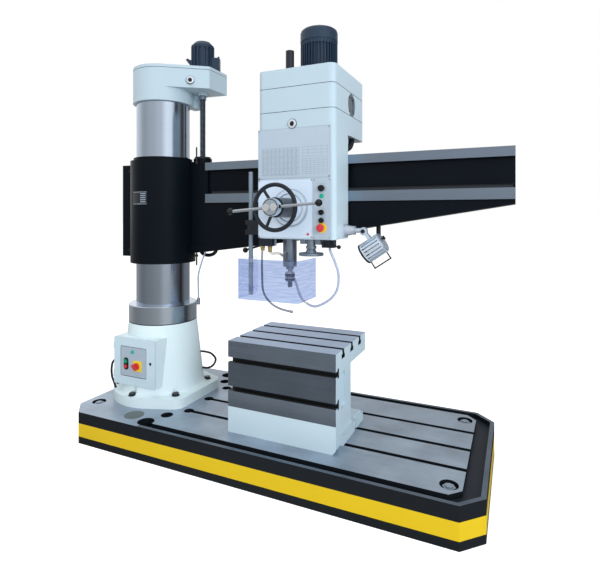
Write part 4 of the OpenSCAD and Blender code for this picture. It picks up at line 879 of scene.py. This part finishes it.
# turned pieces: shape is (radius, height) pairs, way is the direction of their axis where it isn't the front
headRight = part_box("head_middle")[1].x / mm
lens = [(12.2, 0), (12.2, 3), (10.7, 3.4), (10.5, 7), (7.8, 9.6), (3.9, 11), (0.7, 11.4)]
plateScrewInset = 7
plateBoxes = [plate["box"] for plate in plates.values()] + [(1199, 1301, 1251, 1572)]  # the last is the control panel
bearing = dict(centre=(67, 2009), boltCircle=56, boltDepth=2.8)
bearingY, bearingZ = bearing["centre"]
lampMouth = lampPlace + lampLook["mouth"] * lampBeam
lampKnobPlace = lampPlace + lampLook["knob"][0] * lampBeam + lampLook["knob"][1] * lampUp
turnedPieces = dict(
    plateScrews=dict(
        shape=[(4.4, 0), (4.4, 3.6), (3.8, 4.8), (2.6, 5.4), (0.6, 5.6)],
        at=[(x, headFront, z) for x0, x1, z0, z1 in plateBoxes for x in (x0 + plateScrewInset, x1 - plateScrewInset)
            for z in (z0 + plateScrewInset, z1 - plateScrewInset)],
        sides=16, body="head", look="chromePlate", slot="chrome"),
    clampCoverBolts=dict(
        shape=[(11, 0), (11, 6), (9.5, 8), (6, 8), (5.4, 4), (0.8, 4)],
        at=[(x, -76, z) for x in (-224, -176) for z in (1138, 1676)],
        sides=24, body="arm", look="wheelBlack", slot="black_steel"),
    runLamp=dict(
        shape=lens, at=(panel["x"], panel["face"], 1479),
        sides=32, body="head", look="greenGlow", slot="green_plastic"),
    stopDisc=dict(
        shape=[(27, 0), (27, 0.8), (26.4, 1.2), (11, 1.2), (11, 0.8)], at=(panel["x"], panel["face"], 1310),
        body="head", look="yellowPlastic", slot="panel_plate"),
    powerLamp=dict(
        shape=np.array(lens) * (0.56, 0.62), at=(1170, headFront - 1.4, 1275),
        sides=24, body="head", look="redGlow", slot="red_plastic"),
    doorLamp=dict(
        shape=lens, at=(-13, doorRecess - 1, 514),
        sides=32, body="door", look="greenGlow", slot="green_plastic"),
    doorLock=dict(
        shape=[(9, 0), (9, 2), (7.5, 3), (2, 3.2)], at=(132, doorFace, 457),
        sides=24, body="door", look="blackSteel", slot="black_steel"),
    flushCover=dict(
        shape=[(57.6, -1.8), (57.6, -0.3), (56.8, 0), (1, 0)], at=(117, -391, 188), way=toTop,
        body="machine_base", look="oliveDisc", slot="base_paint"),
    bearingCover=dict(
        shape=[(65.5, -8.8), (65.5, -4), (63.5, -2.6), (48, -2.6), (44, -6), (30, -7), (10, -6), (1, -6)],
        at=(headRight, bearingY, bearingZ), way=toRight,
        sides=64, body="head", look="coverSteel", slot="machined"),
    bearingCoverBolts=dict(
        shape=[(5, 0), (5, 2.2), (4.4, 2.8), (2.4, 2.8), (2.2, 1.4), (0.5, 1.4)],
        at=[(headRight - bearing["boltDepth"], bearingY + bearing["boltCircle"] * math.cos(a),
             bearingZ + bearing["boltCircle"] * math.sin(a)) for a in np.radians(np.arange(45, 360, 90))],
        way=toRight, sides=20, body="head", look="blackSteel", slot="black_steel"),
    lampRim=dict(
        shape=[(50.2, -10), (57.4, -10), (58, -3), (57, 0.5), (52, 0.8), (50.2, -1)], at=lampMouth, way=lampBeam,
        body="lamp_head", look="blackPlastic", slot="black_plastic"),
    lampReflector=dict(
        shape=[(49.5, -9), (44, -24), (30, -31), (10, -33), (1, -33)], at=lampMouth, way=lampBeam,
        body="lamp_head", look="chromePlate", slot="chrome"),
    lampLens=dict(
        shape=[(49.8, -9), (49.8, -4), (34, -2.4), (16, -1.6), (1, -1.4)], at=lampMouth, way=lampBeam,
        body="lamp_head", look="lensGlass", slot="clear_sheet"),
    lampKnob=dict(
        shape=[(5, 0), (5, 8), (11, 10), (12, 14), (11, 18), (3, 19)], at=lampKnobPlace, way=-lampBeam,
        sides=20, body="lamp_head", look="blackPlastic", slot="black_plastic"),
    lampPivotBolt=dict(
        shape=[(11, 0), (11, 4), (9.5, 6), (5, 6), (4.6, 3), (0.6, 3)], at=(1431, -77.8, 1290),
        sides=24, body="lamp_head", look="wheelBlack", slot="black_steel"),
)
for name, p in turnedPieces.items():
    add(turned(name, p["shape"], p["at"], p.get("way", toFront), p.get("sides", 48)), p["body"], p["look"])
print("pieces added")

# studio: pale floor, soft lights, a pale world; reflections see a world whose brightness changes with the compass
floorLook = dict(half=60, level=-0.0005, tone=(0.8, 0.8, 0.8, 1), rough=0.9, shown=0.6, glimpse=0.44, askew=0.14)
skyLook = dict(lit=0.64, shown=0.36)
white = (1, 1, 1, 1)
compassTop = 1.5
compass = ((-180, 0.94), (-138, 0.56), (-100, 0.68), (-62, 0.84), (-34, 1.4), (-18, 1.34), (-4, 0.9), (9, 0.36),
           (24, 0.2), (41, 0.03), (54, 0.46), (72, 0.6), (100, 0.62), (118, 0.8), (138, 1.12), (180, 0.94))
studioLights = dict(
    key=dict(place=(1.2, -9.0, 2.2), aim=(0.8, 0, 0.8), size=4.0, power=82, tint=(1.0, 0.985, 0.96)),
    fill=dict(place=(6.4, -4.6, 3.2), aim=(1.1, 0.0, 1.6), size=3.2, power=340, tint=(0.88, 0.945, 1.0)),
    top=dict(place=(-0.2, -0.9, 5.6), aim=(0.5, 0, 0.4), size=3.4, power=110, tint=(1.0, 1.0, 1.0)),
)


def compassGroup():
    # brightness against the angle round the upright axis, read from a smooth ramp
    group, given, result = newGroup("compassLight", [("Direction", vectorSocket, (1, 0, 0))],
                                    [("Strength", valueSocket)])
    x, y, _ = split(group, given[0])
    turn = times(group, mathNode(group, "ARCTAN2", y, x), 0.5 / math.pi)
    ramp = addNode(group, "ShaderNodeValToRGB", {0: plus(group, turn, 0.5)})
    ramp.color_ramp.interpolation = "EASE"
    stops = ramp.color_ramp.elements
    for angle, _ in compass[1:-1]:
        stops.new((angle + 180) / 360)
    for stop, (_, level) in zip(stops, compass):
        stop.color = (level / compassTop, level / compassTop, level / compassTop, 1)
    level = addNode(group, "ShaderNodeSeparateColor", {0: ramp.outputs[0]}).outputs[0]
    feed(group, result, {0: times(group, level, compassTop)})
    return group


def raysOf(tree):
    # whether a ray comes from the camera, straight or through a clear piece, and whether it is a reflection
    rays = addNode(tree, "ShaderNodeLightPath").outputs
    return larger(tree, rays["Is Camera Ray"], rays["Is Transmission Ray"]), rays["Is Glossy Ray"]


def compassStrength(tree, compassLight, direction):
    return addNode(tree, "ShaderNodeGroup", {0: direction}, node_tree=compassLight).outputs[0]


def floorPiece(compassLight):
    # the camera sees plain white; reflections see the compass light, dimmed
    look = floorLook
    corners = [(x, y, look["level"]) for x, y in look["half"] * np.array([[-1, -1], [1, -1], [1, 1], [-1, 1]])]
    ground = meshPiece("floor", corners, [[0, 1, 2, 3]], smooth=False)
    material = bpy.data.materials.new("floorPale")
    material.use_nodes = True
    tree = material.node_tree
    shader = tree.nodes["Principled BSDF"]
    seen, reflected = raysOf(tree)
    feed(tree, shader, {"Base Color": look["tone"], "Roughness": look["rough"], "Specular IOR Level": 0.0,
                        "Emission Color": white, "Emission Strength": times(tree, seen, look["shown"])})
    askew = addNode(tree, "ShaderNodeMapping", {"Vector": objectPlace(tree), "Rotation": (0, 0, look["askew"])})
    around = compassStrength(tree, compassLight, askew.outputs[0])
    glimpse = addNode(tree, "ShaderNodeEmission", {"Strength": times(tree, around, look["glimpse"])})
    mixShaders(tree, reflected, shader, glimpse)
    ground.data.materials.append(material)


def studio():
    compassLight = compassGroup()
    floorPiece(compassLight)
    for name, lamp in studioLights.items():
        data = bpy.data.lights.new(name, "AREA")
        data.size = lamp["size"]
        data.energy = lamp["power"]
        data.color = lamp["tint"]
        light = bpy.data.objects.new(name, data)
        light.location = lamp["place"]
        turn = np.stack(axes(np.subtract(lamp["place"], lamp["aim"])), axis=1)
        light.rotation_euler = Matrix(turn.tolist()).to_euler()
        light.visible_glossy = False
        bpy.context.scene.collection.objects.link(light)
    world = bpy.data.worlds.new("studio")
    bpy.context.scene.world = world
    world.use_nodes = True
    tree = world.node_tree
    seen, reflected = raysOf(tree)
    sky = plus(tree, times(tree, seen, skyLook["shown"]), skyLook["lit"])
    around = compassStrength(tree, compassLight, addNode(tree, "ShaderNodeTexCoord").outputs["Generated"])
    feed(tree, tree.nodes["Background"], {"Color": white, "Strength": mixValue(tree, reflected, sky, around)})


studio()
print("studio set")
